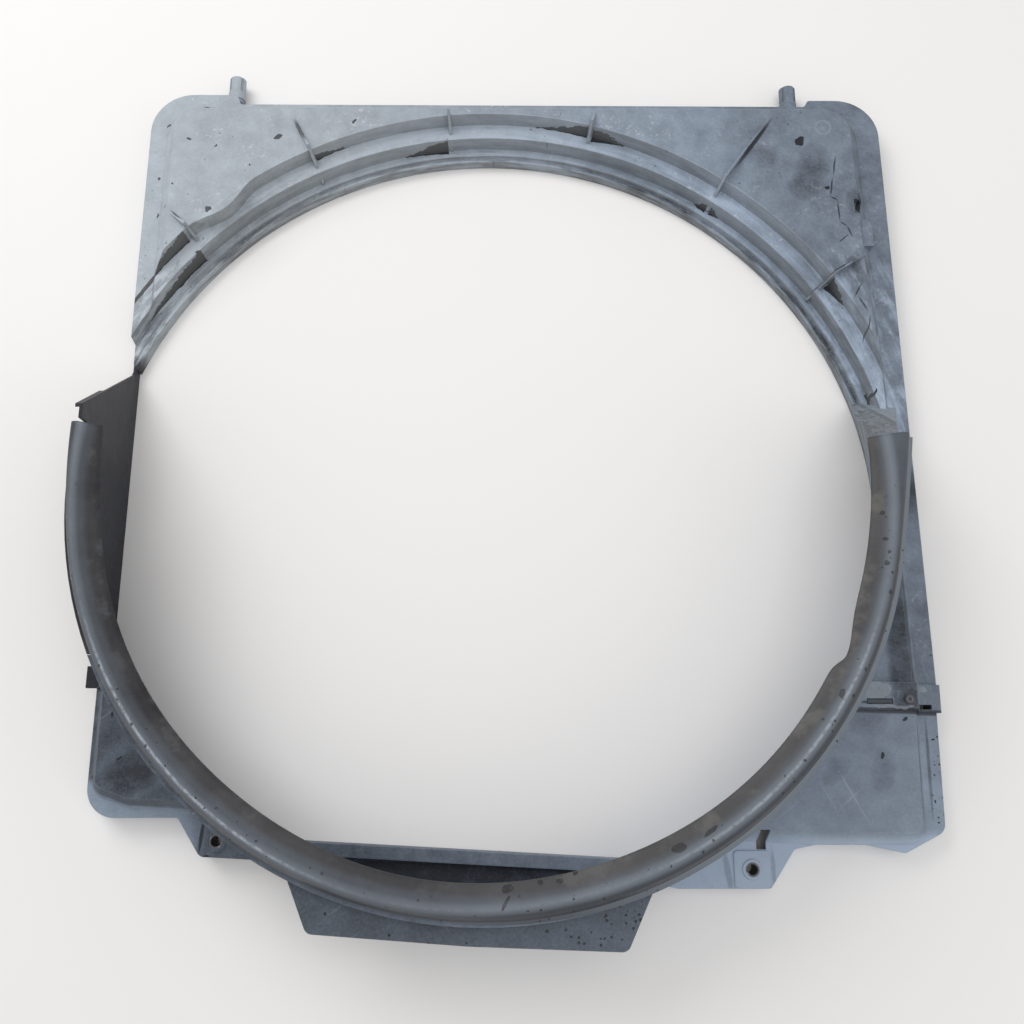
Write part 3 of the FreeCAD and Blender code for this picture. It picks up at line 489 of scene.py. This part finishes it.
# Painted shade: the wall behind the left end of the seal loses its dust here.
left_side = times(tree, fade(tree, x, *behind_seal_end), fade(tree, y, *below_steps))
film = lay(tree, film, left_side, -0.85)
print("less dust: right side and left wall; more dust: right border")

# %% Streaks of the lip
metres_per_radian = 0.05
top_of_lip = (0.047, 0.0445)
face_of_lip, rim_of_lip, left_of_lip = (0.4135, 0.4120), (0.4062, 0.4048), (-0.27, -0.34)
groove_r, groove_border = 0.4152, (0.0022, 0.0008)

slow_bearing = times(tree, bearing, metres_per_radian)
round_place = add(tree, "ShaderNodeCombineXYZ", links={0: round_r, 1: slow_bearing, 2: z}).outputs[0]
lip_streak = speckle(tree, round_place, 5.0, 4.0, 0.6)
streaky = times(tree, calc(tree, "SUBTRACT", lip_streak, 0.5), on_steps, fade(tree, z, *top_of_lip))
film = lay(tree, film, streaky, 0.75)
lip_band = times(tree, fade(tree, round_r, *face_of_lip), on_steps)
film = lay(tree, film, lip_band, -0.34)
# Painted highlight along the inner rim of the lip, broken by the streaks.
lip_rim_highlight = times(tree, fade(tree, round_r, *rim_of_lip), on_steps)
film = lay(tree, film, times(tree, lip_rim_highlight, fade(tree, lip_streak, 0.40, 0.60)), 0.34)
film = lay(tree, film, times(tree, lip_band, fade(tree, x, *left_of_lip)), 0.42)
from_groove = calc(tree, "ABSOLUTE", calc(tree, "SUBTRACT", round_r, groove_r))
thin_light = times(tree, fade(tree, from_groove, *groove_border), on_steps,
                   fade(tree, lip_streak, 0.56, 0.44))
film = lay(tree, film, thin_light, 0.22)
print("lip: streaks, bare band, dusty rim, thin light line at r, m:", groove_r)

# %% [markdown]
# ## Water on the upper moulding
# Water stands in wedges against the ribs, in spots on the plate, and in thin dark lines that
# ran down at the right. The first three thin lines lie beside ribs and are painted shadow. A spot or
# line is one row: its middle, half its length, its turn in degrees and half its width. A wedge's row
# has the foot of its riser as radius and height, how far it reaches on the tread and up the riser,
# and the angles of its rib and its tip. Lengths are in millimetres. Rows are easier to move than painted
# strokes.

# %% Places of the water and the rib shadows
upper_foot, lower_foot = (440.0, 28.0), (421.0, 10.0)
wet_wedges = [
    (upper_foot, 2, 18, 137.6, 151.0), (lower_foot, 3, 19, 137.6, 151.0), (upper_foot, 1.5, 9, 116.0, 110.5),
    (lower_foot, 4, 19, 96.3, 104.0), (upper_foot, 2, 15, 75.6, 83.5), (upper_foot, 7, 15, 75.0, 70.0),
    (lower_foot, 4, 13, 55.0, 57.4), (lower_foot, 4, 10, 54.4, 52.6), (upper_foot, 7, 17, 33.9, 30.0),
    (lower_foot, 1.5, 4, 17.5, 10.0),
]
upper_wet_marks = [
    (-232, 413, 4), (-303, 323, 4.4), (368, 354, 3.4), (-150, 434, 3.6, 60, 1.8), (-262, 380, 2),
    (342, 410, 7.5, 70, 5), (364, -215, 17, 8, 6), (404, 338, 13, 88, 4), (-330, 410, 2.2),
    (-344, 356, 1.8), (-352, 330, 2.2, 90, 1.4), (-300, 402, 2.4, 40, 1.2), (-366, 372, 2.8, 90, 1.4),
    (-364, 328, 3, 90, 1.5), (-360, 440, 4, 45, 1.4), (404, 120, 9, 70, 2), (-310, 452, 8, 10, 1.5),
    (-256, 455, 12, 2, 1.2),
]
# The first three lines are painted shadow beside ribs. The others are thin water lines.
wet_lines_and_rib_shadows = [
    (291, 407, 52, 54.4, 3.0), (366, 250, 36, 34.2, 1.8), (-208, 419, 24, 116.4, 2.8),
    (-335, 315, 16, 137.0, 2.0), (378, 380, 17, 80, 1.5), (373, 354, 16, 80, 1.5),
    (374.5, 340, 6, -30, 1.4), (378.5, 325, 17, 92, 1.4), (382.5, 309.5, 6.5, -35, 1.3),
    (388.5, 300.5, 10, -69, 1.4), (381, 292, 12, 40, 1.1), (392, 232, 14, 60, 1.2),
    (396, 216, 13, 118, 1.2), (400, 190, 18, 80, 1.2), (366, -198.6, 14, -1.7, 2.6),
    (412, -214, 4, 90, 2),
]
# Painted highlights at the right seam: on standing water and on the edge of the bar.
seam_highlight_marks = [(373, -187, 15, 2, 9), (425, -186, 7, 0, 4), (388, -202.6, 21, -1.7, 2.0)]
print("wet marks:", len(upper_wet_marks), "wedges:", len(wet_wedges), "lines:", len(wet_lines_and_rib_shadows))

# %% [markdown]
# The rows become masks here. Each shape reads a place pushed about by noise, wedges a little and
# spots more, so no two rims look alike. The painted shadow under the seam strip and the fine flecks
# come last. A higher level wins where two marks meet, because added levels would make the crossings darker.

# %% Masks of the water and the painted shadows
seam_slope = 0.0293
right_strip = (0.33, 0.34)
upper_strip_edge = (-0.1920, -0.1932)

ux, uy = add(tree, "ShaderNodeSeparateXYZ", links={"Vector": warped(tree, place, 11.0, 2.2)}).outputs[:2]
uneven_r = calc(tree, "SQRT", calc(tree, "ADD", times(tree, ux, ux), times(tree, uy, uy)))
uneven_z = lay(tree, z, calc(tree, "SUBTRACT", speckle(tree, place, 8.0, 4.0, 0.6), 0.5), 0.016)
soaked = None
for mark in wet_wedges:
    one = wedge(tree, (uneven_r, bearing), uneven_z, *mark)
    soaked = one if soaked is None else calc(tree, "MAXIMUM", soaked, one)
soaked = times(tree, soaked, on_steps)
uneven = warped(tree, place, 11.0, 5.0)
cloudy = speckle(tree, place, 80.0, 2.0)
wet = calc(tree, "MAXIMUM", ragged(tree, place, spots(tree, uneven, upper_wet_marks), 0.14, 0.30),
           ragged(tree, place, soaked, 0.30, 0.50, 7.0, 0.4))
under_strip = calc(tree, "MULTIPLY_ADD", x, seam_slope, y)
# Painted shadow under the lower edge of the seam strip, laid in with the wet marks.
seam_shadow = times(tree, fade(tree, under_strip, *upper_strip_edge), fade(tree, x, *right_strip))
wet = calc(tree, "MAXIMUM", wet, times(tree, seam_shadow, 0.8))
wet_and_shadow_line_level = spots(tree, warped(tree, place, 7.0, 0.9), wet_lines_and_rib_shadows)
wet = calc(tree, "MAXIMUM", wet, fade(tree, wet_and_shadow_line_level, 0.10, 0.62, 0.0, 0.85))
flecks = times(tree, drops(tree, place, 15.0, 1.0, 0.30), fade(tree, cloudy, 0.50, 0.56))
wet = calc(tree, "MAXIMUM", wet, times(tree, flecks, 0.55))
seam_highlight = ragged(tree, place, spots(tree, uneven, seam_highlight_marks), 0.10, 0.14, 20.0, 0.10)
print("soft ovals on the plate and the lines:", len(upper_wet_marks) + len(wet_lines_and_rib_shadows))

# %% [markdown]
# ## Join the upper finish
# The masks and pale scuffs feed the recipe. Four things then go over its colour: a painted olive
# reflection of the floor on the risers, a faint plain ring from moulding near the upper right corner,
# painted highlights at the right seam, and painted shade on the left wall. They could be layers of
# the recipe, but only this piece has them.

# %% Join the upper finish
clean_plastic = (0.028, 0.033, 0.044)
left_dust_tone = (0.45, 0.50, 0.555)
right_dust_tone = (0.375, 0.455, 0.570)
scuff_tone = (0.62, 0.64, 0.65)
plate_ends = (-0.25, 0.30)
ring_middle = (369, 428)

scuff_area = times(tree, fade(tree, speckle(tree, place, 45.0, 2.0), 0.50, 0.60),
                   fade(tree, oval(tree, place, *ring_middle, 26), 0.10, 0.0))
scuff = times(tree, fade(tree, speckle(tree, place, 5.0, 5.0, 0.7), 0.55, 0.66), scuff_area, flat)
film = lay(tree, film, scuff, 0.16)
dust_tone = tint(tree, fade(tree, x, *plate_ends), left_dust_tone, right_dust_tone)
dust_tone = tint(tree, times(tree, scuff, 0.45), dust_tone, scuff_tone)
weathered(tree, shader, place, film, clean_plastic, dust_tone, wet)
print("the recipe has made", len(tree.nodes), "nodes so far")

# %% Painted riser reflection, ring, seam highlights and shade
floor_reflection_olive = (0.26, 0.262, 0.25)
ring_tone = (0.34, 0.37, 0.41)
seam_highlight_tone = (0.30, 0.33, 0.36)
shade_tone = (0.011, 0.012, 0.018)

# Painted reflection: the risers of the steps take an olive tint, as if they reflected the warm floor.
riser_reflection = times(tree, on_steps, calc(tree, "SUBTRACT", 1.0, flat))
dusty_colour = shader.inputs["Base Color"].links[0].from_socket
with_riser_reflection = tint(tree, times(tree, riser_reflection, 0.35), dusty_colour, floor_reflection_olive)
ring_level = oval(tree, place, *ring_middle, 11)
ring_mark = times(tree, fade(tree, ring_level, 0.10, 0.22), fade(tree, ring_level, 0.42, 0.26))
ringed = tint(tree, times(tree, ring_mark, 0.32), with_riser_reflection, ring_tone)
# Painted highlights at the right seam, as soft pale patches.
with_seam_highlight = tint(tree, times(tree, seam_highlight, 0.55), ringed, seam_highlight_tone)
shaded = tint(tree, times(tree, left_side, 0.82), with_seam_highlight, shade_tone)
tree.links.new(shaded, shader.inputs["Base Color"])
print("upper finish:", upper_finish.name, "with", len(tree.nodes), "nodes")

# %% [markdown]
# ## Lower moulding and deflector
# The lower corners have less dust and more water on them: the right panel is a smooth blue-grey
# and the left one darker. The gutter behind the bottom rail gets painted shade and stays dark. Each
# piece could have a recipe of its own, but the same one with other amounts of dust makes them
# look like one material.

# %% Places of the water on the lower moulding
lower_wet_marks = [
    (374, -248, 4, 70, 2.8), (-356, -210, 3, 80, 1.3), (-345, -250, 3.5, 20, 1.3), (-262, -340, 4, 0, 1.8),
    (399, -214, 4, 20, 2.4), (431, -232, 2, 80, 1.2), (430, -290, 2, 80, 1.2), (-372, -268, 5, 80, 2.4),
]
lower_soft_shade = [
    (364, -216, 22, 4, 16), (374, -262, 22, 80, 12), (330, -262, 20, 50, 10), (-330, -262, 30, 20, 20),
]
# The first two lines run along the steps at the right border of the panel and are painted shade.
dark_lines = [
    (411.5, -262, 64, 88.2, 1.8), (426, -260, 60, 88.8, 2.0), (227, -354, 24, 98, 4.0),
    (270, -351, 22, 91, 2.6), (-268.5, -322, 19, 85, 2.2),
]
print("lower moulding: wet marks", len(lower_wet_marks), "dark lines", len(dark_lines))

# %% [markdown]
# The dust is laid from left to right first. Then the painted shade in the gutter and along the steps
# of the right panel, the other dark lines and the shaded places take some away, and the sides of the
# tabs and the low edges of the corners get some more.

# %% Finish of the lower moulding
behind_rail, gutter_depth = (-0.343, -0.349), (0.014, 0.006)
right_of_deflector, low_side, under_flange = (0.12, 0.17), (-0.315, -0.330), (0.055, 0.045)
edge_height, corner_edge = (0.033, 0.027), (-0.266, -0.276)
left_corner, right_corner = (-0.26, -0.29), (0.33, 0.37)
lower_strip_edge = (-0.1985, -0.1970)
right_border = (0.4255, 0.4275)

lower_finish, tree, shader = new_finish("lower_moulding_plastic")
where = add(tree, "ShaderNodeTexCoord")
place = where.outputs["Object"]
x, y, z = add(tree, "ShaderNodeSeparateXYZ", links={"Vector": place}).outputs
left_right = fade(tree, x, -0.30, 0.30, 0.18, 0.49)
shade = calc(tree, "SQRT", spots(tree, warped(tree, place, 30.0, 8.0), lower_soft_shade))
film = lay(tree, left_right, shade, -0.17)
# Painted shade in the gutter behind the bottom rail.
gutter_shade = times(tree, fade(tree, y, *behind_rail), fade(tree, z, *gutter_depth))
film = lay(tree, film, gutter_shade, -0.36)
tab_side = times(tree, fade(tree, x, *right_of_deflector), fade(tree, y, *low_side),
                 fade(tree, z, *under_flange))
film = lay(tree, film, tab_side, 0.50)
low_edge = times(tree, fade(tree, z, *edge_height), fade(tree, y, *corner_edge))
film = lay(tree, film, times(tree, low_edge, fade(tree, x, *left_corner)), 0.42)
film = lay(tree, film, times(tree, low_edge, fade(tree, x, *right_corner)), 0.14)
# Darker lines, the two at the right border being painted shade on the steps.
film = lay(tree, film, fade(tree, spots(tree, place, dark_lines), 0.0, 0.5), -0.30)
film = lay(tree, film, oval(tree, place, 418.5, -260, 62, 88.5, 6), 0.16)
wet = ragged(tree, place, spots(tree, warped(tree, place, 11.0, 5.0), lower_wet_marks), 0.14, 0.30)
under_strip = calc(tree, "MULTIPLY_ADD", x, seam_slope, y)
# Painted shadow just below the seam strip, laid in with the wet marks.
seam_shadow = times(tree, fade(tree, under_strip, *lower_strip_edge), fade(tree, x, *right_strip))
wet = calc(tree, "MAXIMUM", wet, times(tree, seam_shadow, 0.8))
wet_rim = times(tree, drops(tree, place, 5.0, 0.9, 0.35), fade(tree, x, *right_border))
wet = calc(tree, "MAXIMUM", wet, wet_rim)
weathered(tree, shader, place, film, clean_plastic, right_dust_tone, wet, blotch=0.65)
print("lower finish:", lower_finish.name, "with", len(tree.nodes), "nodes")

# %% [markdown]
# The deflector is the darkest plastic. It has small drops, most of them at its right corner, and
# a few lone ones along its low edge. They could be ovals placed by hand, but a pattern of cells
# scatters so many more easily.

# %% Finish of the lower deflector
drop_corner = (106, -386, 52, 8, 26)
low_edge_of_plate = (-0.372, -0.378)

deflector_finish, tree, shader = new_finish("deflector_plastic")
place = add(tree, "ShaderNodeTexCoord").outputs["Object"]
x, y = add(tree, "ShaderNodeSeparateXYZ", links={"Vector": place}).outputs[:2]
film = fade(tree, x, -0.16, 0.14, 0.15, 0.20)
wet_corner = oval(tree, place, *drop_corner)
wet = times(tree, drops(tree, place, 6.0, 1.3, 0.55), fade(tree, wet_corner, 0.10, 0.35))
lone = times(tree, drops(tree, place, 17.0, 1.5, 0.30), fade(tree, y, *low_edge_of_plate))
wet = calc(tree, "MAXIMUM", wet, lone)
weathered(tree, shader, place, film, clean_plastic, right_dust_tone, wet, blotch=0.35)
print("deflector finish:", deflector_finish.name)

# %% [markdown]
# ## Metal pieces
# The screws, washers, clip nuts and tab sleeves are zinc plated steel, and the rivets are
# aluminium. Bare bright metal would be too new, so cloudy masks dull it and leave a little
# dirt on it. One function makes both, because only their tones and the share of dirt differ.

# %% Finishes of the steel and the aluminium
def dulled_metal(name, bright, dirt, roughness, dirt_share):
    """Metal with cloudy dirt on it. More of it is dirty when dirt_share is higher."""
    finish, tree, shader = new_finish(name)
    place = add(tree, "ShaderNodeTexCoord").outputs["Object"]
    patch = fade(tree, speckle(tree, place, 3.0, 5.0, 0.65), 0.62 - dirt_share, 0.72 - dirt_share)
    fine = speckle(tree, place, 0.7, 2.0)
    tree.links.new(tint(tree, patch, bright, dirt), shader.inputs["Base Color"])
    tree.links.new(calc(tree, "SUBTRACT", 1.0, times(tree, patch, 0.8)), shader.inputs["Metallic"])
    tree.links.new(calc(tree, "MULTIPLY_ADD", fine, 0.25, roughness), shader.inputs["Roughness"])
    edge = add(tree, "ShaderNodeBevel", samples=4, values={"Radius": 0.0003})
    bump = add(tree, "ShaderNodeBump", links={"Height": fine, "Normal": edge.outputs[0]},
               values={"Strength": 0.3, "Distance": 0.0003})
    tree.links.new(bump.outputs[0], shader.inputs["Normal"])
    return finish


zinc_finish = dulled_metal("worn_zinc_steel", (0.30, 0.31, 0.33), (0.11, 0.11, 0.12), 0.42, 0.28)
rivet_finish = dulled_metal("dulled_aluminium", (0.60, 0.61, 0.62), (0.20, 0.20, 0.20), 0.30, 0.12)
print("metal finishes:", zinc_finish.name, rivet_finish.name)

# %% [markdown]
# ## Rubber half ring
# The seal is an extruded rubber lip: a thin leg against the ring wall, a foot on the flange, and
# an arch whose edge bends inward. Its section is drawn once, as points of radius and height in
# millimetres. The angles say where the half ring starts and ends.

# %% Places of the seal
foot_top_z = 121.0
rim_r = 384.0
seal_start_angle = 172.5
seal_end_angle = 366.0
seal_stations = 380

outer_line = [(384.4, 121.2), (384.4, 123.2), (383.6, 124.4), (382.2, 128.0), (380.6, 134.5),
              (377.5, 140.6), (372.0, 143.9), (366.0, 143.4), (360.5, 141.3), (355.0, 139.2),
              (350.8, 137.5)]
tip_line = [(349.9, 136.3), (350.6, 134.6)]
inner_line = [(356.0, 136.0), (361.5, 138.0), (366.5, 139.8), (371.0, 140.0), (375.4, 136.4),
              (378.0, 131.0), (379.5, 125.2)]
leg_line = [(371.9, 124.6), (371.9, 100.2), (374.8, 100.2), (374.8, 121.2)]
section = outer_line + tip_line + inner_line + leg_line
print("points in the section of the seal:", len(section))


# %% [markdown]
# The solid in the model is a perfect turned form. The real rubber is soft, so its free edge
# wanders a few millimetres and has a kink at the lower right, both ends open outward, and the
# rim of the foot reaches further on the right. Three small sums give these shifts, in mm. Each
# wander has a size in mm, a number of waves per turn and a start in degrees.

# %% How the soft edge moves
free_edge_r, free_width = 376.0, 26.0
wanders = ((0.9, 3.0, 20), (0.6, 7.0, 75))
kink_angle, kink_bulge = 332.8, 7.5
kink_before, kink_after = 1.9, 4.6
left_flare, right_flare, flare_angle = 6.0, 14.0, 17.0
tip_r, arch_width = 350.0, 27.0
tip_share, arch_share = 0.22, 0.78
rim_extra = 3.6


def between_0_and_1(value):
    return max(0.0, min(1.0, value))


def lip_shift(angle, radius):
    """How far the free edge leaves the perfect round. The foot doesn't move."""
    free = between_0_and_1((free_edge_r - radius) / free_width)
    wander = sum(size * math.sin(math.radians(angle * waves + start)) for size, waves, start in wanders)
    spread = kink_after if angle > kink_angle else kink_before
    return free * (wander + kink_bulge * math.exp(-((angle - kink_angle) / spread) ** 2))


def end_flare(angle, radius):
    """How far the two ends open outward. At the right end the edge follows less."""
    left = max(0.0, 1.0 - (angle - seal_start_angle) / flare_angle)
    right = max(0.0, 1.0 - (seal_end_angle - angle) / flare_angle)
    outer = between_0_and_1((radius - tip_r) / arch_width)
    return left_flare * left ** 2 + right_flare * (tip_share + arch_share * outer) * right ** 2


def rim_reach(turn):
    """How far the rim of the foot reaches out. It is 0 on the left side."""
    return rim_extra * between_0_and_1((math.cos(turn) + 0.1) / 0.4)


for angle in (seal_start_angle, kink_angle, seal_end_angle):
    shift = lip_shift(angle, tip_r) + end_flare(angle, tip_r)
    print("at", angle, "degrees the tip moves, mm:", round(shift, 1))

# %% [markdown]
# Turning a curve with a bevel would keep the section rigid, so the mesh is made ring by ring.
# Each ring is the same section with its edge shifted, and quads join it to the next ring.

# %% Build the seal
def build_seal():
    mesh = bmesh.new()
    rings = []
    for i in range(seal_stations + 1):
        angle = seal_start_angle + (seal_end_angle - seal_start_angle) * i / seal_stations
        turn = math.radians(angle)
        ring = []
        for radius, height in section:
            shifted = radius + (rim_reach(turn) if radius > rim_r else 0.0)
            if height > foot_top_z:
                shifted += lip_shift(angle, radius) + end_flare(angle, radius)
            ring.append(mesh.verts.new((shifted * math.cos(turn) / 1000, shifted * math.sin(turn) / 1000,
                                        height / 1000)))
        rings.append(ring)
    count = len(section)
    for i in range(seal_stations):
        for j in range(count):
            k = (j + 1) % count
            mesh.faces.new((rings[i][j], rings[i][k], rings[i + 1][k], rings[i + 1][j]))
    for ring in (rings[0], rings[-1]):
        mesh.faces.new(ring)
    bmesh.ops.recalc_face_normals(mesh, faces=mesh.faces)
    data = bpy.data.meshes.new("rubber_half_ring")
    mesh.to_mesh(data)
    mesh.free()
    for polygon in data.polygons:
        polygon.use_smooth = len(polygon.vertices) == 4
    piece = bpy.data.objects.new("rubber_half_ring", data)
    bpy.context.scene.collection.objects.link(piece)
    return piece


seal = build_seal()
print("seal faces:", len(seal.data.polygons))

# %% [markdown]
# ## Finish of the rubber
# Outside it is a satin blue-grey, with a painted highlight along its crest, painted shade on its
# flank and a pale rim at its foot. The side that faces the opening is darker from painted shade,
# darkest at the left, with dry film patches that turn olive at the right, where the olive is a painted
# reflection of the warm floor. The bands could be faces with their own finish, but masks that read
# the distance from the crest line follow the bend of the lip and have soft borders.

# %% Bands of the rubber
inner_side = (0.3655, 0.3575)
crest_left_r, crest_right_r = 0.3733, 0.3694
crest_half, light_half = (0.0022, 0.0003), (0.0075, 0.0010)
lower_part = (-0.10, -0.20)
foot_height = (0.1262, 0.1245)
flank_from_crest = (0.0030, 0.0085)
end_height, end_side = (-0.10, 0.00), (0.20, 0.25)

rubber_finish, tree, shader = new_finish("satin_rubber")
place = add(tree, "ShaderNodeTexCoord").outputs["Object"]
x, y, z = add(tree, "ShaderNodeSeparateXYZ", links={"Vector": place}).outputs
round_r = calc(tree, "SQRT", calc(tree, "ADD", times(tree, x, x), times(tree, y, y)))
cloud = speckle(tree, place, 60.0, 5.0, 0.62)
mottle = speckle(tree, place, 9.0, 5.0, 0.65)
grit = speckle(tree, place, 1.6, 2.0)
sparkle = speckle(tree, place, 5.0, 3.0, 0.6)
inner = fade(tree, round_r, *inner_side)
line_r = fade(tree, x, -0.10, 0.10, crest_left_r, crest_right_r)
from_line = calc(tree, "SUBTRACT", round_r, line_r)
broad_highlight = fade(tree, calc(tree, "ABSOLUTE", from_line), *light_half)
at_sides = calc(tree, "ADD", fade(tree, x, -0.10, -0.22, 0.12, 1.0), fade(tree, x, 0.12, 0.24, 0.0, 0.55))
# Painted highlight along the crest line, strongest at the sides and broken by sparkle.
crest = times(tree, fade(tree, calc(tree, "ABSOLUTE", from_line), *crest_half),
              fade(tree, y, *lower_part, 0.08, 1.0), at_sides, fade(tree, sparkle, 0.36, 0.60, 0.30, 1.0))
foot = fade(tree, z, *foot_height)
right_end = times(tree, fade(tree, y, *end_height), fade(tree, x, *end_side))
# Painted shade on the steep outer flank below the crest, with less of it near the right end.
flank_shade = times(tree, fade(tree, from_line, *flank_from_crest), calc(tree, "SUBTRACT", 1.0, foot),
              calc(tree, "MULTIPLY_ADD", right_end, -0.85, 1.0))
print("bands of the rubber: inner side, crest line, flank, foot")

# %% [markdown]
# The layers go on from the widest to the thinnest: the cloudy body tone, dry patches on the inner
# side, a broad soft painted highlight, the painted shade of the flank, the pale foot and last the painted
# highlight on the crest. A colour ramp could hold all tones along the radius, but then each band
# couldn't fade along the ring by itself.

# %% Colour of the rubber
dark_rubber, pale_rubber = (0.030, 0.035, 0.044), (0.120, 0.138, 0.165)
dark_shaded_inside, pale_shaded_inside = (0.006, 0.006, 0.009), (0.100, 0.099, 0.103)
grey_film, olive_floor_reflection = (0.135, 0.140, 0.148), (0.19, 0.185, 0.165)
broad_highlight_tone, crest_highlight_tone = (0.40, 0.45, 0.52), (0.50, 0.55, 0.62)
flank_shade_tone, foot_tone = (0.018, 0.021, 0.027), (0.21, 0.24, 0.28)

tone = lay(tree, fade(tree, x, -0.38, 0.16, 0.26, 0.62), calc(tree, "SUBTRACT", cloud, 0.5), 0.75)
tone = lay(tree, tone, calc(tree, "SUBTRACT", mottle, 0.5), 0.22)
tone = calc(tree, "MULTIPLY_ADD", calc(tree, "SUBTRACT", grit, 0.5), 0.12, tone, clamp=True)
outside = tint(tree, tone, dark_rubber, pale_rubber)
# Painted shade: the side that faces the opening takes darker tones.
inside = tint(tree, tone, dark_shaded_inside, pale_shaded_inside)
colour = tint(tree, inner, outside, inside)
dry_film = times(tree, fade(tree, speckle(tree, place, 26.0, 4.0, 0.6), 0.50, 0.66), inner)
# Grey dry film at the left. At the right its olive tone is a painted reflection of the warm floor.
film_and_reflection_tone = tint(tree, fade(tree, x, -0.10, 0.25), grey_film, olive_floor_reflection)
colour = tint(tree, times(tree, dry_film, 0.30), colour, film_and_reflection_tone)
# Painted highlight: a broad soft band of light around the crest line.
colour = tint(tree, times(tree, broad_highlight, 0.20), colour, broad_highlight_tone)
colour = tint(tree, times(tree, flank_shade, 0.60), colour, flank_shade_tone)
colour = tint(tree, times(tree, foot, fade(tree, x, 0.02, 0.22, 0.15, 0.95)), colour, foot_tone)
# Painted highlight on the crest.
colour = tint(tree, times(tree, crest, 0.60), colour, crest_highlight_tone)
print("rubber colour: layers from the body tone to the crest line")

# %% [markdown]
# ## Water on the rubber
# Drops stand on the right and lower side. Real drops could be small meshes of clear water, but
# they are stains of the day, so they stay in the finish as small glossy bumps.

# %% Water on the rubber
water = [
    (358, -36, 3), (358, -60, 2.2, 80, 3.4), (360, -72, 2), (357, -82, 3), (358, -108, 2.6), (360, -117, 2),
    (357, -140, 1.6), (330, -176, 2.4), (318, -198, 2.4), (300, -220, 1.6), (20, -355, 6, 10, 4),
    (47, -350, 3), (63, -349, 4, 15, 2.4), (76, -343, 3, 30, 2), (18, -366, 8, 60, 2), (-372, -62, 2),
    (-366, -95, 2.4), (162, -323, 9, 12, 4.5), (189, -310, 10, 38, 2.2), (308, -196, 5, 60, 3),
    (-300, -222, 2), (-287, -240, 2),
]
wet_rubber = (0.022, 0.022, 0.024)
over_crest, low_half = (-0.012, -0.006), (0.02, -0.06)

wet = ragged(tree, place, spots(tree, warped(tree, place, 6.0, 1.5), water), 0.18, 0.28, 6.0, 0.25)
beads = times(tree, drops(tree, place, 9.0, 1.2, 0.25), fade(tree, from_line, *over_crest),
              fade(tree, y, *low_half))
wet = calc(tree, "MAXIMUM", wet, beads)
colour = tint(tree, times(tree, wet, 0.75), colour, wet_rubber)
tree.links.new(colour, shader.inputs["Base Color"])
rough = calc(tree, "MULTIPLY_ADD", mottle, 0.20, 0.36)
rough = times(tree, rough, calc(tree, "SUBTRACT", 1.0, times(tree, wet, 0.7)))
shader.inputs["Specular IOR Level"].default_value = 0.30
tree.links.new(rough, shader.inputs["Roughness"])
height = calc(tree, "MULTIPLY_ADD", mottle, 2.0, grit)
height = calc(tree, "MULTIPLY_ADD", wet, 1.5, height)
bump = add(tree, "ShaderNodeBump", links={"Height": height},
           values={"Strength": 0.35, "Distance": 0.0006})
tree.links.new(bump.outputs[0], shader.inputs["Normal"])
print("larger drops on the rubber:", len(water))

# %% [markdown]
# ## Put the seal in its place
# The new mesh stands for the plain turned solid, rides on the frame as the solid did, and takes
# its finish from the same slot. Both could show at once, but then they would flicker where they
# share a face, so the solid is hidden.

# %% Put the seal in its place
seal.data.materials.append(rubber_finish)
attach(seal, "root")
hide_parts("ring_seal")
print("seal rides on the frame and stands for the plain turned solid")

# %% [markdown]
# ## Give every piece its finish
# The loaded pieces keep their meshes. One could copy each and dress the copy, but changing only
# the material in their slots is shorter, and nothing can drift out of place.

# %% Assign the finishes
finish_of = {
    "upper_shroud": upper_finish,
    "lower_shroud": lower_finish,
    "lower_deflector": deflector_finish,
    "ring_seal": rubber_finish,
    "seal_rivets": rivet_finish,
    "deflector_rivets": rivet_finish,
}
for name, piece in nodes.items():
    piece.data.materials.clear()
    piece.data.materials.append(finish_of.get(name, zinc_finish))
print("finished pieces:", len(nodes))
